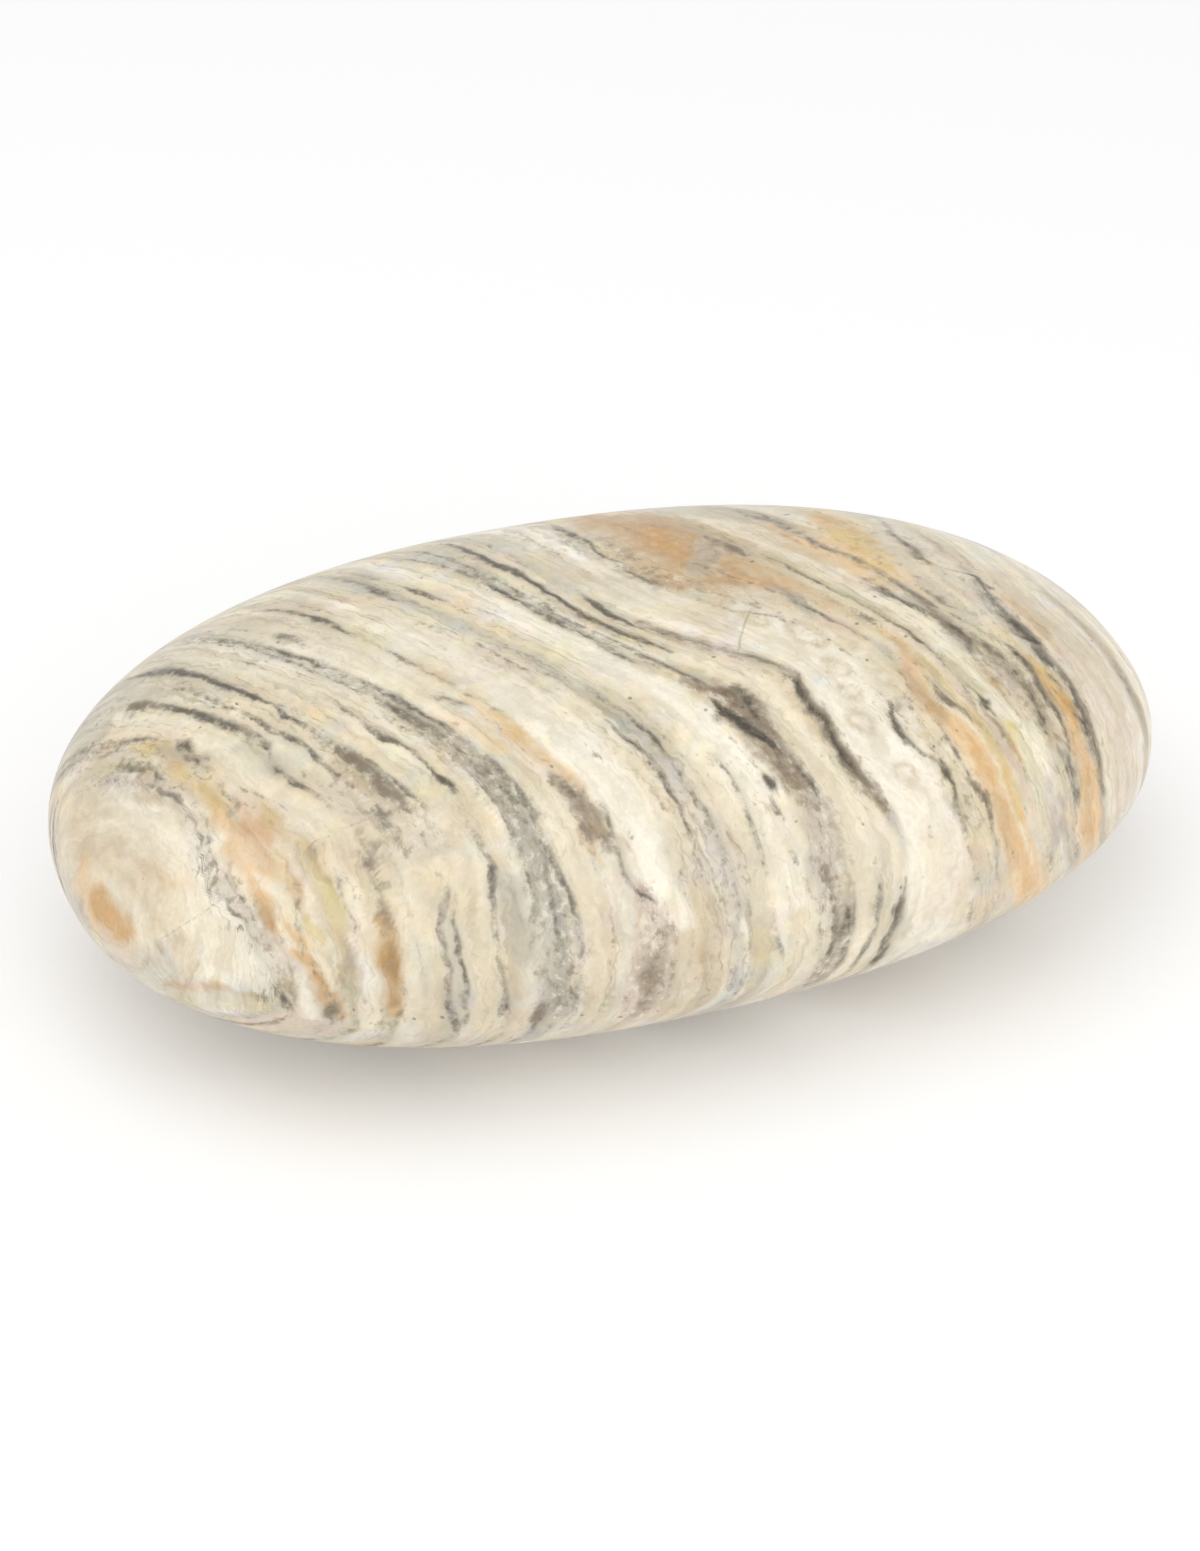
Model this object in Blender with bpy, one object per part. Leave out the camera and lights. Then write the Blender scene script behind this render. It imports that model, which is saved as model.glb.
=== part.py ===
"""An aragonite palm stone: one piece of banded rock, ground and polished to a smooth flattened oval.

The frame is the stone's own: +X along its length, +Z up, and the origin in the middle of the
small flat that it rests on. Lengths are in metres.
"""

import math

import bmesh
import bpy
from mathutils import Vector

MM = 0.001

# The plan: an oval a little fuller than an ellipse, bowed and tapered a little by hand grinding.
LENGTH = 70 * MM
WIDTH = 44 * MM
PLAN_FULLNESS = 2.3  # 2 is a plain ellipse, and more squares it up
TAPER = 0.03  # share of the width lost at the +X end, and gained at the -X end
BOW = 0.44 * MM  # how far the ends swing towards -Y, against the middle

# The profile: a dome above the girdle, and a shallower belly below it.
CROWN = 12.6 * MM
BELLY = 10.7 * MM
PROFILE_FULLNESS = 2.1
REST_CUT = 0.3 * MM  # taken off the bottom of the belly, which leaves the resting flat

FACETS_PER_SIDE = 24  # the mesh is a cube's six sides of this many squares each way, made round
STONE_COLOUR = (0.70, 0.61, 0.47, 1.0)
POLISH_ROUGHNESS = 0.28


def clear_scene():
    for obj in list(bpy.data.objects):
        bpy.data.objects.remove(obj, do_unlink=True)


def evenly_spread(side_share):
    """Where a cube's grid line goes, from -1 to 1, so that the round shape's facets are of like size."""
    return math.tan(side_share * math.pi / 4)


def girdle_reach(direction):
    """1 over the distance to the stone's surface that way, from the middle of the girdle."""
    half_height = CROWN if direction.z > 0 else BELLY
    plan = (
        abs(direction.x / (LENGTH / 2)) ** PLAN_FULLNESS
        + abs(direction.y / (WIDTH / 2)) ** PLAN_FULLNESS
    ) ** (1 / PLAN_FULLNESS)
    height = abs(direction.z / half_height)
    return (plan**PROFILE_FULLNESS + height**PROFILE_FULLNESS) ** (1 / PROFILE_FULLNESS)


def ground_by_hand(point):
    """The regular oval's point, moved by the taper, the bow and the cut of the resting flat."""
    along = point.x / (LENGTH / 2)
    y = point.y * (1 - TAPER * along) - BOW * (along**2 - 0.5)
    z = max(point.z, REST_CUT - BELLY)
    return Vector((point.x, y, z))


def stone_mesh():
    """The stone's closed surface, with its box centred on the origin in plan and standing on z = 0."""
    bm = bmesh.new()
    bmesh.ops.create_cube(bm, size=2)
    bmesh.ops.subdivide_edges(bm, edges=bm.edges[:], cuts=FACETS_PER_SIDE - 1, use_grid_fill=True)
    for vert in bm.verts:
        direction = Vector(evenly_spread(share) for share in vert.co).normalized()
        vert.co = ground_by_hand(direction / girdle_reach(direction))
    low = [min(vert.co[axis] for vert in bm.verts) for axis in range(3)]
    high = [max(vert.co[axis] for vert in bm.verts) for axis in range(3)]
    middle = Vector(((low[0] + high[0]) / 2, (low[1] + high[1]) / 2, low[2]))
    bmesh.ops.translate(bm, verts=bm.verts[:], vec=-middle)
    bmesh.ops.recalc_face_normals(bm, faces=bm.faces[:])
    mesh = bpy.data.meshes.new("stone")
    bm.to_mesh(mesh)
    bm.free()
    mesh.shade_smooth()
    return mesh


def aragonite():
    material = bpy.data.materials.new("aragonite")
    material.use_nodes = True
    shader = material.node_tree.nodes["Principled BSDF"]
    shader.inputs["Base Color"].default_value = STONE_COLOUR
    shader.inputs["Roughness"].default_value = POLISH_ROUGHNESS
    shader.inputs["Metallic"].default_value = 0.0
    return material


def build():
    clear_scene()
    stone = bpy.data.objects.new("stone", stone_mesh())
    stone.data.materials.append(aragonite())
    bpy.context.scene.collection.objects.link(stone)


build()
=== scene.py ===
"""The looks of an aragonite palm stone: the ground oval, its layers of rock, and its soft polish."""

import math

import bpy
import numpy as np
from mathutils import Matrix, Vector


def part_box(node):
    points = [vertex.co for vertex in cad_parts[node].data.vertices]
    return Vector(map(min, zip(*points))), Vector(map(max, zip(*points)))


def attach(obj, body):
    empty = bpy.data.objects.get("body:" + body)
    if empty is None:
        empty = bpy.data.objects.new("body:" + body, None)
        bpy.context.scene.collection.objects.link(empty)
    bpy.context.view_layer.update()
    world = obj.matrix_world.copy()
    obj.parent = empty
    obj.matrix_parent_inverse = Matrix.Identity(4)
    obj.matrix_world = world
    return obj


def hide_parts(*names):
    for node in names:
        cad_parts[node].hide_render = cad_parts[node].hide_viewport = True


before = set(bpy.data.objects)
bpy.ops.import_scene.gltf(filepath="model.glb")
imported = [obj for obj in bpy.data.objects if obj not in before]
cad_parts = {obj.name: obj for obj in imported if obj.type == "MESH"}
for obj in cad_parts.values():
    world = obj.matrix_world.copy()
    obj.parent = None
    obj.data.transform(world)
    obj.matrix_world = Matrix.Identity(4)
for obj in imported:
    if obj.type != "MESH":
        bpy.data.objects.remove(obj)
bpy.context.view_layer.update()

# ---------------------------------------------------------------------------------------------
# The stone's form. One lump of banded aragonite, sawn to a block, ground to a full oval with a
# dome above the girdle and a shallower belly below it, and left with a small flat to rest on.

LENGTH = 0.070
WIDTH = 0.044
PLAN_FULLNESS = 2.3
TAPER = 0.03
BOW = 0.00044
CROWN = 0.0126
BELLY = 0.0107
PROFILE_FULLNESS = 2.1
REST_CUT = 0.0003
GRID_ALONG = 176
GRID_ACROSS = 132
GRID_UP = 82
GRID_STRETCH = (1.9, 1.45, 1.0)


def arithmetic(operation, swapped=False):
    """The method behind one arithmetic sign: it adds the Math node that works it out."""

    def method(self, other):
        first, second = (other, self) if swapped else (self, other)
        return self.bench.math(operation, first, second)

    return method


class Wire:
    """A node's output. Arithmetic on it adds the Math nodes that work it out."""

    def __init__(self, bench, socket):
        self.bench = bench
        self.socket = socket

    __add__ = arithmetic("ADD")
    __radd__ = arithmetic("ADD", True)
    __sub__ = arithmetic("SUBTRACT")
    __rsub__ = arithmetic("SUBTRACT", True)
    __mul__ = arithmetic("MULTIPLY")
    __rmul__ = arithmetic("MULTIPLY", True)
    __truediv__ = arithmetic("DIVIDE")
    __rtruediv__ = arithmetic("DIVIDE", True)
    __pow__ = arithmetic("POWER")
    __gt__ = arithmetic("GREATER_THAN")

    def __abs__(self):
        return self.bench.math("ABSOLUTE", self)


class Bench:
    """Where one node tree is put together, for a shape or for a finish."""

    def __init__(self, tree):
        self.tree = tree

    def node(self, kind, settings=None, sockets=None, output=0):
        """Adds a node: first its settings, then the values or links of its sockets."""
        made = self.tree.nodes.new(kind)
        for name, value in (settings or {}).items():
            setattr(made, name, value)
        for key, value in (sockets or {}).items():
            if isinstance(value, Wire):
                self.tree.links.new(value.socket, made.inputs[key])
            else:
                made.inputs[key].default_value = value
        return Wire(self, made.outputs[output]) if len(made.outputs) else made

    def math(self, operation, *values):
        """One Math node on up to three values or links."""
        return self.node("ShaderNodeMath", {"operation": operation}, dict(enumerate(values)))

    def parts(self, vector):
        """A vector's three numbers."""
        split = self.node("ShaderNodeSeparateXYZ", None, {0: vector}).socket.node
        return [Wire(self, output) for output in split.outputs]

    def vector(self, x, y, z):
        """Three numbers as one vector."""
        return self.node("ShaderNodeCombineXYZ", None, {0: x, 1: y, 2: z})


def stone_form_tree(material):
    """A cube's grid, made round and then ground to the stone's oval."""
    tree = bpy.data.node_groups.new("ground oval", "GeometryNodeTree")
    bench = Bench(tree)
    tree.interface.new_socket("Stone", in_out="OUTPUT", socket_type="NodeSocketGeometry")
    given = {
        "Length": LENGTH,
        "Width": WIDTH,
        "Plan fullness": PLAN_FULLNESS,
        "Taper": TAPER,
        "Bow": BOW,
        "Crown": CROWN,
        "Belly": BELLY,
        "Profile fullness": PROFILE_FULLNESS,
        "Rest cut": REST_CUT,
    }
    for name in given:
        tree.interface.new_socket(name, in_out="INPUT", socket_type="NodeSocketFloat")
    counts = {"Grid along": GRID_ALONG, "Grid across": GRID_ACROSS, "Grid up": GRID_UP}
    for name in counts:
        tree.interface.new_socket(name, in_out="INPUT", socket_type="NodeSocketInt")
    inlet = tree.nodes.new("NodeGroupInput")
    size = {name: Wire(bench, inlet.outputs[name]) for name in [*given, *counts]}

    cube = bench.node(
        "GeometryNodeMeshCube",
        None,
        {0: (2, 2, 2), 1: size["Grid along"], 2: size["Grid across"], 3: size["Grid up"]},
    )
    corner = bench.parts(bench.node("GeometryNodeInputPosition"))
    spread = [
        bench.math("TANGENT", share * (math.pi / 4)) * stretch
        for share, stretch in zip(corner, GRID_STRETCH)
    ]
    direction = bench.node("ShaderNodeVectorMath", {"operation": "NORMALIZE"}, {0: bench.vector(*spread)})
    x, y, z = bench.parts(direction)
    half_height = size["Belly"] + (size["Crown"] - size["Belly"]) * (z > 0)
    fullness = size["Plan fullness"]
    plan = (
        abs(x / (size["Length"] / 2)) ** fullness + abs(y / (size["Width"] / 2)) ** fullness
    ) ** (1 / fullness)
    profile = size["Profile fullness"]
    reach = (plan**profile + abs(z / half_height) ** profile) ** (1 / profile)
    x, y, z = x / reach, y / reach, z / reach
    along = x / (size["Length"] / 2)
    y = y * (1 - size["Taper"] * along) - size["Bow"] * (along * along - 0.5)
    z = bench.math("MAXIMUM", z, size["Rest cut"] - size["Belly"])
    ground = bench.node("GeometryNodeSetPosition", None, {0: cube, 2: bench.vector(x, y, z)})
    smooth = bench.node("GeometryNodeSetShadeSmooth", None, {0: ground})
    real = bench.node("GeometryNodeRealizeInstances", None, {0: smooth})
    dressed = bench.node("GeometryNodeSetMaterial", None, {0: real, "Material": material})
    outlet = tree.nodes.new("NodeGroupOutput")
    tree.links.new(dressed.socket, outlet.inputs["Stone"])
    return tree, {**given, **counts}


aragonite = bpy.data.materials.new("polished aragonite")
aragonite.use_nodes = True
form, form_sizes = stone_form_tree(aragonite)
stone = bpy.data.objects.new("palm_stone", bpy.data.meshes.new("palm_stone"))
bpy.context.scene.collection.objects.link(stone)
grinding = stone.modifiers.new("ground oval", "NODES")
grinding.node_group = form
for item in form.interface.items_tree:
    if item.in_out == "INPUT":
        grinding[item.identifier] = form_sizes[item.name]
bpy.context.view_layer.update()
ground_mesh = bpy.data.meshes.new_from_object(stone.evaluated_get(bpy.context.evaluated_depsgraph_get()))
stone.modifiers.clear()
stone.data = ground_mesh

spots = np.zeros(len(ground_mesh.vertices) * 3)
ground_mesh.vertices.foreach_get("co", spots)
spots = spots.reshape(-1, 3)
node_low, node_high = (np.array(corner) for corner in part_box("stone"))
shift = (node_low + node_high) / 2 - (spots.min(0) + spots.max(0)) / 2
ground_mesh.transform(Matrix.Translation(Vector(shift)))
spots = (spots + shift) * 1000

# ---------------------------------------------------------------------------------------------
# The layers. The rock grew as thin sheets, and the oval was cut so that they cross it at a
# slant: each sheet comes out on the surface as a seam that laps the whole stone.

# A spot's place is how far across the sheets it lies, in mm. Its lap is the angle that it lies
# around the stone, in degrees: 0 over the crown, 90 at the front girdle, 180 under the belly.

BEDDING_TURN = math.radians(31)
BEDDING_DIP = math.radians(-12)
GIRDLE_HEIGHT = (BELLY - REST_CUT) * 1000
LAP_FLATTENING = 2.0

across = np.array(
    [
        math.cos(BEDDING_DIP) * math.cos(BEDDING_TURN),
        math.cos(BEDDING_DIP) * math.sin(BEDDING_TURN),
        math.sin(BEDDING_DIP),
    ]
)
upward = np.array([0, 0, 1]) - across * across[2]
upward /= np.linalg.norm(upward)
frontward = np.cross(across, upward)
half_sizes = np.array([LENGTH, WIDTH, CROWN + BELLY]) * 500
core_lean = half_sizes**2 * across
core_lean /= core_lean @ across

from_core = spots - np.array([0, 0, GIRDLE_HEIGHT])
place = from_core @ across
from_core = from_core - place[:, None] * core_lean
lap = np.degrees(np.arctan2(from_core @ frontward, LAP_FLATTENING * (from_core @ upward)))


def drift(points, wavelength, seed):
    """A smooth value, mostly from -1 to 1, that wanders over the stone."""
    random = np.random.default_rng(seed)
    total = np.zeros(len(points))
    waves = 14
    for _ in range(waves):
        direction = random.normal(size=3)
        direction /= np.linalg.norm(direction)
        turns = 2 * math.pi / (wavelength * random.uniform(0.7, 1.7))
        total += np.sin(points @ direction * turns + random.uniform(0, 2 * math.pi))
    return total / math.sqrt(waves)


# The sheets waver a little, at three sizes.
layer_space = np.stack([spots @ frontward, spots @ upward, place * 3], axis=1)
place = place + 0.04 * drift(spots, 6, 11) + 0.05 * drift(layer_space, 2.2, 12)
place = place + 0.045 * drift(spots, 1.3, 13)

# Seams whose course was followed around the stone, as (growth, (lap, place), ...): growth is
# the seam's order in the rock, in mm, and the sheets between two seams share out their gap.
GUIDES = (
    (-33, (0, -33)),
    (-30.5, (-60, -27.5), (-30, -27.8), (-15, -28.1), (0, -28.6), (10, -29.2), (20, -30.2), (30, -30.8),
     (40, -31.1), (60, -31), (80, -30.6), (100, -30.3), (112, -30)),
    (-25, (-60, -22.3), (-40, -22.8), (-20, -23.2), (-5, -23.6), (5, -24.5), (12, -24.9), (20, -25.1),
     (32, -25), (40, -25.6), (50, -26.1), (60, -26.5), (75, -26.7), (90, -26.5), (105, -26.1)),
    (-23, (-60, -19), (-45, -19.6), (-30, -20.3), (-15, -21), (0, -21.6), (15, -22.1), (25, -22.6),
     (35, -23), (45, -23.2), (52, -23.6), (58, -24.2), (65, -24.6), (78, -24.6), (90, -24.2), (100, -23.8),
     (112, -23)),
    (-21, (-60, -17.2), (-30, -18.3), (-15, -19.2), (0, -19.8), (15, -20.1), (25, -20.1), (33, -20.4),
     (42, -20.9), (50, -21.3), (61, -22), (75, -22.3), (95, -21.9), (108, -21.3)),
    (-18, (-60, -15), (-45, -15.9), (-30, -16.6), (-15, -17.2), (15, -17.3), (30, -17.5), (40, -17.9),
     (47, -18.4), (55, -18.7), (90, -18.7), (105, -18.3)),
    (-15.3, (-45, -12.2), (-35, -12.8), (-25, -13.5), (-15, -14), (-5, -14.5), (5, -14.9), (15, -15.2),
     (45, -15.4), (75, -15.5), (90, -15.3), (105, -14.6), (115, -14.2)),
    (-10.2, (-42, -7.6), (-30, -8.8), (-20, -9.5), (-10, -10), (0, -10.3), (30, -10.1), (60, -10.5),
     (75, -10.4), (90, -10.1), (110, -9.3)),
    (-5.5, (-38, -3.6), (-30, -4.4), (-20, -5), (-10, -5.9), (0, -6.7), (10, -6.7), (17, -6.2), (22, -5.5),
     (27, -5.1), (50, -4.9), (60, -5), (70, -5.4), (90, -5), (105, -4.8)),
    (-4, (-38, -.8), (-30, -1.5), (-20, -2.9), (-10, -3.8), (-5, -4.4), (0, -5), (5, -5.3), (10, -5.2),
     (18, -4.5), (25, -3.7), (50, -3.4), (80, -2.9), (108, -2.5)),
    (-2, (-35, .2), (-28, -.6), (-20, -1.6), (-8, -3), (0, -3.9), (6, -4.1), (12, -3.7), (18, -3), (22, -2),
     (26, -.9), (30, -.4), (35, -1.1), (45, -1.8), (50, -1.9), (55, -1.4), (75, -1.1), (85, -1.5),
     (95, -1.8), (105, -1.5)),
    (2, (-35, 5.8), (-27, 4), (-20, 2.6), (-12, 1.3), (-4, .4), (6, .3), (15, .9), (25, 1.6), (45, 2.2),
     (65, 2.9), (75, 3.1), (85, 3.6), (95, 4), (105, 5)),
    (8, (-32, 11.5), (-20, 9.9), (-10, 8.7), (0, 8), (10, 7.9), (20, 8.2), (30, 8.6), (40, 8), (60, 8.2),
     (75, 8.6), (85, 9.2), (95, 10), (105, 12)),
    (11.5, (-28, 14.5), (-15, 13.2), (-5, 12.4), (5, 11.8), (15, 11.2), (50, 11.5), (80, 11.4), (90, 12),
     (100, 13.5)),
    (15.5, (-12, 22.8), (-3, 21.2), (5, 20.1), (12, 19.3), (18, 18.6), (23, 17.5), (28, 16.7), (35, 16.2),
     (52, 15.2), (70, 14.4), (80, 14.4), (90, 15), (100, 16.5)),
    (21.5, (0, 26), (10, 24.8), (20, 23.6), (30, 22.9), (50, 22.1), (70, 21.4), (90, 20.5)),
    (33, (0, 33)),
)
FAR_LAPS = (145, 180, 215, 250, 275)
FAR_SWAY = 0.7


def course_table(growth, points):
    """A guide seam's place at each whole degree of lap, smoothed. Past its last point it sways."""
    laps = [point[0] for point in points]
    places = [point[1] for point in points]
    if len(points) > 1:
        for number, far in enumerate(FAR_LAPS):
            laps.append(far)
            places.append(growth + FAR_SWAY * math.sin(growth * 0.23 + number * 1.9))
    degrees = np.arange(360)
    table = np.interp(degrees, laps, places, period=360)
    bell = np.exp(-0.5 * (np.arange(-9, 10) / 3) ** 2)
    bell /= bell.sum()
    return np.convolve(np.concatenate([table[-9:], table, table[:9]]), bell, "valid")


courses = [
    np.interp(lap, np.arange(360), course_table(growth, points), period=360)
    for growth, *points in GUIDES
]
growth = np.full(len(spots), GUIDES[0][0], float)
for near, far, near_guide, far_guide in zip(courses, courses[1:], GUIDES, GUIDES[1:]):
    share = np.clip((place - near) / np.maximum(far - near, 0.05), 0, 1)
    growth += share * (far_guide[0] - near_guide[0])

# The -X tip lies nearly along the sheets, which nest there around a knot, drawn out backwards.
KNOT = np.array([-33.4, -8.2, 11.8])
KNOT_GROWTH = -44.0
KNOT_DRAWN_OUT = 0.62
from_knot = spots - KNOT
from_knot[:, 1] *= np.where(from_knot[:, 1] > 0, KNOT_DRAWN_OUT, 1)
from_knot = np.linalg.norm(from_knot, axis=1) + 0.45 * drift(spots, 5, 21) + 0.12 * drift(spots, 1.7, 22)
in_nest = place < courses[1]
growth = np.where(in_nest, KNOT_GROWTH + from_knot, growth)

# ---------------------------------------------------------------------------------------------
# The minerals. Pale sheets of carbonate carry traces of iron and clay, which stain them from
# ivory to ochre and rust, and thin dark seams of manganese and mud lie between them.


def mineral(red, green, blue):
    """A colour as seen, from 0 to 255, as the linear shares that a shader works in."""
    seen = np.array([red, green, blue]) / 255
    return np.where(seen <= 0.04045, seen / 12.92, ((seen + 0.055) / 1.055) ** 2.4)


IVORY = mineral(252, 244, 226)
CREAM = mineral(243, 232, 207)
SAND = mineral(229, 215, 186)
TAN = mineral(208, 188, 155)
ASH = mineral(210, 203, 185)
SLATE = mineral(178, 171, 155)
TAUPE = mineral(188, 172, 150)
LILAC = mineral(204, 192, 180)
GOLD = mineral(226, 203, 144)
STRAW = mineral(228, 211, 138)
HONEY = mineral(222, 192, 130)
OCHRE = mineral(205, 164, 104)
AMBER = mineral(219, 170, 106)
APRICOT = mineral(238, 204, 158)
SALMON = mineral(232, 184, 146)
RUST = mineral(206, 164, 112)
ROSE = mineral(228, 206, 186)
BUFF = mineral(213, 186, 147)
EARTH = mineral(162, 131, 93)
OLIVE = mineral(154, 140, 104)
SEDGE = mineral(206, 198, 160)
SHELL = mineral(240, 224, 198)

# The rock's sheets from tip to tip, each as where it starts in the order of growth and its
# mineral. A sheet runs on to the next one, and they grade into each other. The rows up to
# -34 are the nest around the knot.
SHEETS = (
    (-44, SAND), (-42.2, SAND), (-41.8, CREAM), (-41.4, SAND), (-41, CREAM), (-40.6, SAND),
    (-40.3, CREAM), (-40, SAND), (-39.7, CREAM), (-39.4, SAND), (-39.1, CREAM), (-38.8, SAND),
    (-38.4, CREAM), (-38, SAND), (-37.6, CREAM), (-36.8, IVORY), (-35, IVORY), (-34, CREAM),
    (-30.8, CREAM), (-30.4, ASH), (-30, SHELL), (-29.2, SHELL), (-28.4, SAND), (-27.7, SHELL),
    (-27, SAND), (-26.4, CREAM), (-25.5, CREAM), (-25, SAND), (-24.3, CREAM), (-23.5, SAND),
    (-22.8, CREAM), (-22, SAND), (-21.3, CREAM), (-20.7, SAND), (-20, CREAM), (-19.3, ASH), (-18.4, ASH),
    (-17.9, CREAM), (-17, SAND), (-16.2, CREAM), (-15.4, SAND), (-14.6, CREAM), (-13, CREAM),
    (-12.2, SAND), (-11.4, CREAM), (-10.6, ASH), (-9.8, SAND), (-9.2, SAND), (-8.4, CREAM), (-7.4, IVORY),
    (-6.5, CREAM), (-5.9, SAND), (-5.2, ASH), (-4.6, SAND), (-4, SAND), (-3.2, CREAM), (-2.5, SAND),
    (-1.9, ASH), (-1.3, CREAM), (-.6, IVORY), (1.2, IVORY), (2.2, SAND), (8, SAND), (8.8, CREAM),
    (10.2, CREAM), (11, SAND), (14, SAND), (14.8, ASH), (15.6, SAND), (17, CREAM), (18.4, IVORY),
    (19.5, CREAM), (20.6, IVORY), (21.4, ASH), (22, SHELL), (23.5, IVORY), (25, SHELL), (26.4, SAND),
    (28, SHELL), (30, SAND), (33, SHELL),
)
tint = np.stack(
    [
        np.interp(growth, [start for start, _ in SHEETS], [colour[band] for _, colour in SHEETS])
        for band in range(3)
    ],
    axis=1,
)
fray = 0.20 * drift(spots, 2.4, 31) + 0.17 * drift(spots, 1.1, 32)
patchiness = 0.85 + 0.15 * drift(spots, 1.8, 33) + 0.13 * drift(layer_space, 2.6, 36)


LAP_SLACK = 8
END_FADE = 2.5
TINT_DEPTH = 1.15
EDGE_OUT = 1.45
EDGE_SOFTNESS = 0.65


def swath(course):
    """How far each point lies off a course of (lap, place, half width), in half widths."""
    laps, places, halves = (np.array(column, float) for column in zip(*course))
    here = np.where(lap < laps[0] - LAP_SLACK, lap + 360, lap)
    off = np.abs(place - np.interp(here, laps, places)) / np.interp(here, laps, halves)
    beyond = np.maximum(laps[0] - here, here - laps[-1])
    return np.hypot(off, np.maximum(beyond, 0) / END_FADE) + fray


def tint_over(colour, strength, off):
    """Tints the stone where off, in half widths, is less than about 1, in a soft patchy edge."""
    inside = np.clip((EDGE_OUT - off) / EDGE_SOFTNESS, 0, 1)
    cover = np.clip(TINT_DEPTH * strength * patchiness * inside, 0, 1)[:, None]
    tint[:] = tint * (1 - cover) + colour * cover


def stain(colour, strength, *course):
    """Tints the stone along a course that runs with the sheets."""
    tint_over(colour, strength, swath(course))


def stretches(points):
    """Each stretch of a line of points in mm: its run, and how every spot lies off it."""
    for start, end in zip(points, points[1:]):
        run = np.subtract(end, start)
        share = np.clip((spots - start) @ run / (run @ run), 0, 1)
        yield run, spots - start - share[:, None] * run


def streak(colour, strength, half, *points):
    """Tints the stone along a line of points in mm, where the sheets aren't followed."""
    nearest = np.min([np.linalg.norm(gap, axis=1) for _, gap in stretches(points)], axis=0)
    tint_over(colour, strength, nearest / half + fray)


def spot(lap_at, place_at, tall, wide):
    """A short course, for one blotch."""
    return (
        (lap_at - tall, place_at, wide * 0.25),
        (lap_at - tall * 0.6, place_at, wide * 0.8),
        (lap_at, place_at, wide),
        (lap_at + tall * 0.6, place_at, wide * 0.8),
        (lap_at + tall, place_at, wide * 0.25),
    )


# Soft mottling, warm and cool, pale and deep, at several sizes.
WARMER = np.array([0.5, 0.05, -1.0])
PINKER = np.array([0.6, -0.7, 0.5])
wavy_place = place + 0.28 * drift(spots, 1.9, 34) + 0.12 * drift(spots, 0.9, 35)
mottle_space = np.stack([spots @ frontward * 0.7, spots @ upward * 0.7, wavy_place], axis=1)
for size, depth, warmth in ((3.2, 0.025, 0.03), (1.5, 0.03, 0.04), (0.8, 0.035, 0.04)):
    seed = int(size * 10)
    tint *= 1 + depth * drift(mottle_space, size, 40 + seed)[:, None]
    tint *= 1 + warmth * drift(mottle_space, size, 90 + seed)[:, None] * WARMER
    tint *= 1 + 0.012 * drift(mottle_space, size * 1.2, 140 + seed)[:, None] * PINKER


def underside_shade(edge, fade):
    """Painted shade under the stone: 1 there, fading to 0 in `fade` degrees of lap from `edge` degrees off
    the belly line.
    """
    return 1 - np.clip((np.abs(np.mod(lap, 360) - 180) - edge) / fade, 0, 1)[:, None]


# Painted shade: the lower flank and the belly are painted a shade darker than the crown, and less yellow,
# where they turn under and away from the lamps.
tint *= 1 - 0.15 * underside_shade(65, 40) * np.array([1.05, 1.0, 0.8])
tint *= 1 + 0.035 * underside_shade(85, 60) * np.array([-0.2, -0.1, 1])

# Stains, from the -X tip to the +X one, each as a colour, a strength and its course of points
# of (lap, place, half width). A streak has its half width first, and then its points in mm.
streak(IVORY, .95, 2.6, (-31.1, -4, 16.4), (-29.9, -6.6, 16.7), (-29, -8.9, 16.6))
streak(SHELL, .4, 3, (-34.3, -1, 13.4), (-33.2, -4, 14.6), (-31.8, -7.5, 14.6), (-31.4, -9.8, 13.8))
streak(ROSE, .25, 1.6, (-33.2, -4, 14.6), (-31.8, -7.5, 14.6), (-31.4, -9.8, 13.8))
streak(TAN, .45, 1.25, (-34.5, .4, 12.9), (-33.6, -2, 14.2), (-32.7, -4.3, 14.9), (-31.6, -7, 15),
       (-30.7, -9.2, 14.9), (-30.6, -11, 14), (-30.4, -12.4, 13))
streak(BUFF, .3, .9, (-34.1, 2.5, 13.4), (-33.3, 1.2, 14.5), (-32.4, -.2, 15.5))
streak(BUFF, .4, .5, (-31, -8.2, 15.3), (-30.4, -9.8, 15), (-30.5, -10.9, 14.2))
streak(BUFF, .3, .4, (-34.1, -3, 13.3), (-33.3, -5, 14), (-32.6, -6.6, 14.2))
streak(SEDGE, .4, .22, (-34.7, -1.3, 12.2), (-34.1, -3.9, 13.1), (-33.2, -6, 14), (-32.3, -7.5, 14.4),
       (-31.9, -9, 14.1), (-31.8, -10.1, 13.4), (-31.7, -10.9, 12.7))
streak(IVORY, .45, .4, (-33.2, -7, 13.4), (-32.4, -8.9, 13.5), (-32.2, -10, 12.9), (-31.9, -11, 11.9),
       (-31.9, -11.4, 11.3))
streak(APRICOT, .7, 1.2, (-34.4, -4.4, 12.3), (-34.3, -5.8, 11.8), (-34, -7.2, 11.4), (-33.4, -8.6, 11.4))
streak(OCHRE, .65, .85, (-34, -6.7, 11.9), (-33.6, -7.8, 11.9), (-33.1, -8.9, 11.8))
streak(AMBER, .7, .5, (-33.9, -7, 11.9), (-33.4, -8.1, 12), (-33, -9.3, 11.6))
streak(OCHRE, .5, .3, (-34, -6.9, 11.3), (-33.6, -7.7, 11.5))
streak(ROSE, .6, .5, (-34, -7.6, 10.5), (-33.5, -8.4, 9.9), (-32.9, -9.3, 9.6))
streak(APRICOT, .3, 1, (-29.7, -10.4, 15.4), (-29.6, -11.6, 14.7), (-30.1, -12.1, 13.8))
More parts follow.
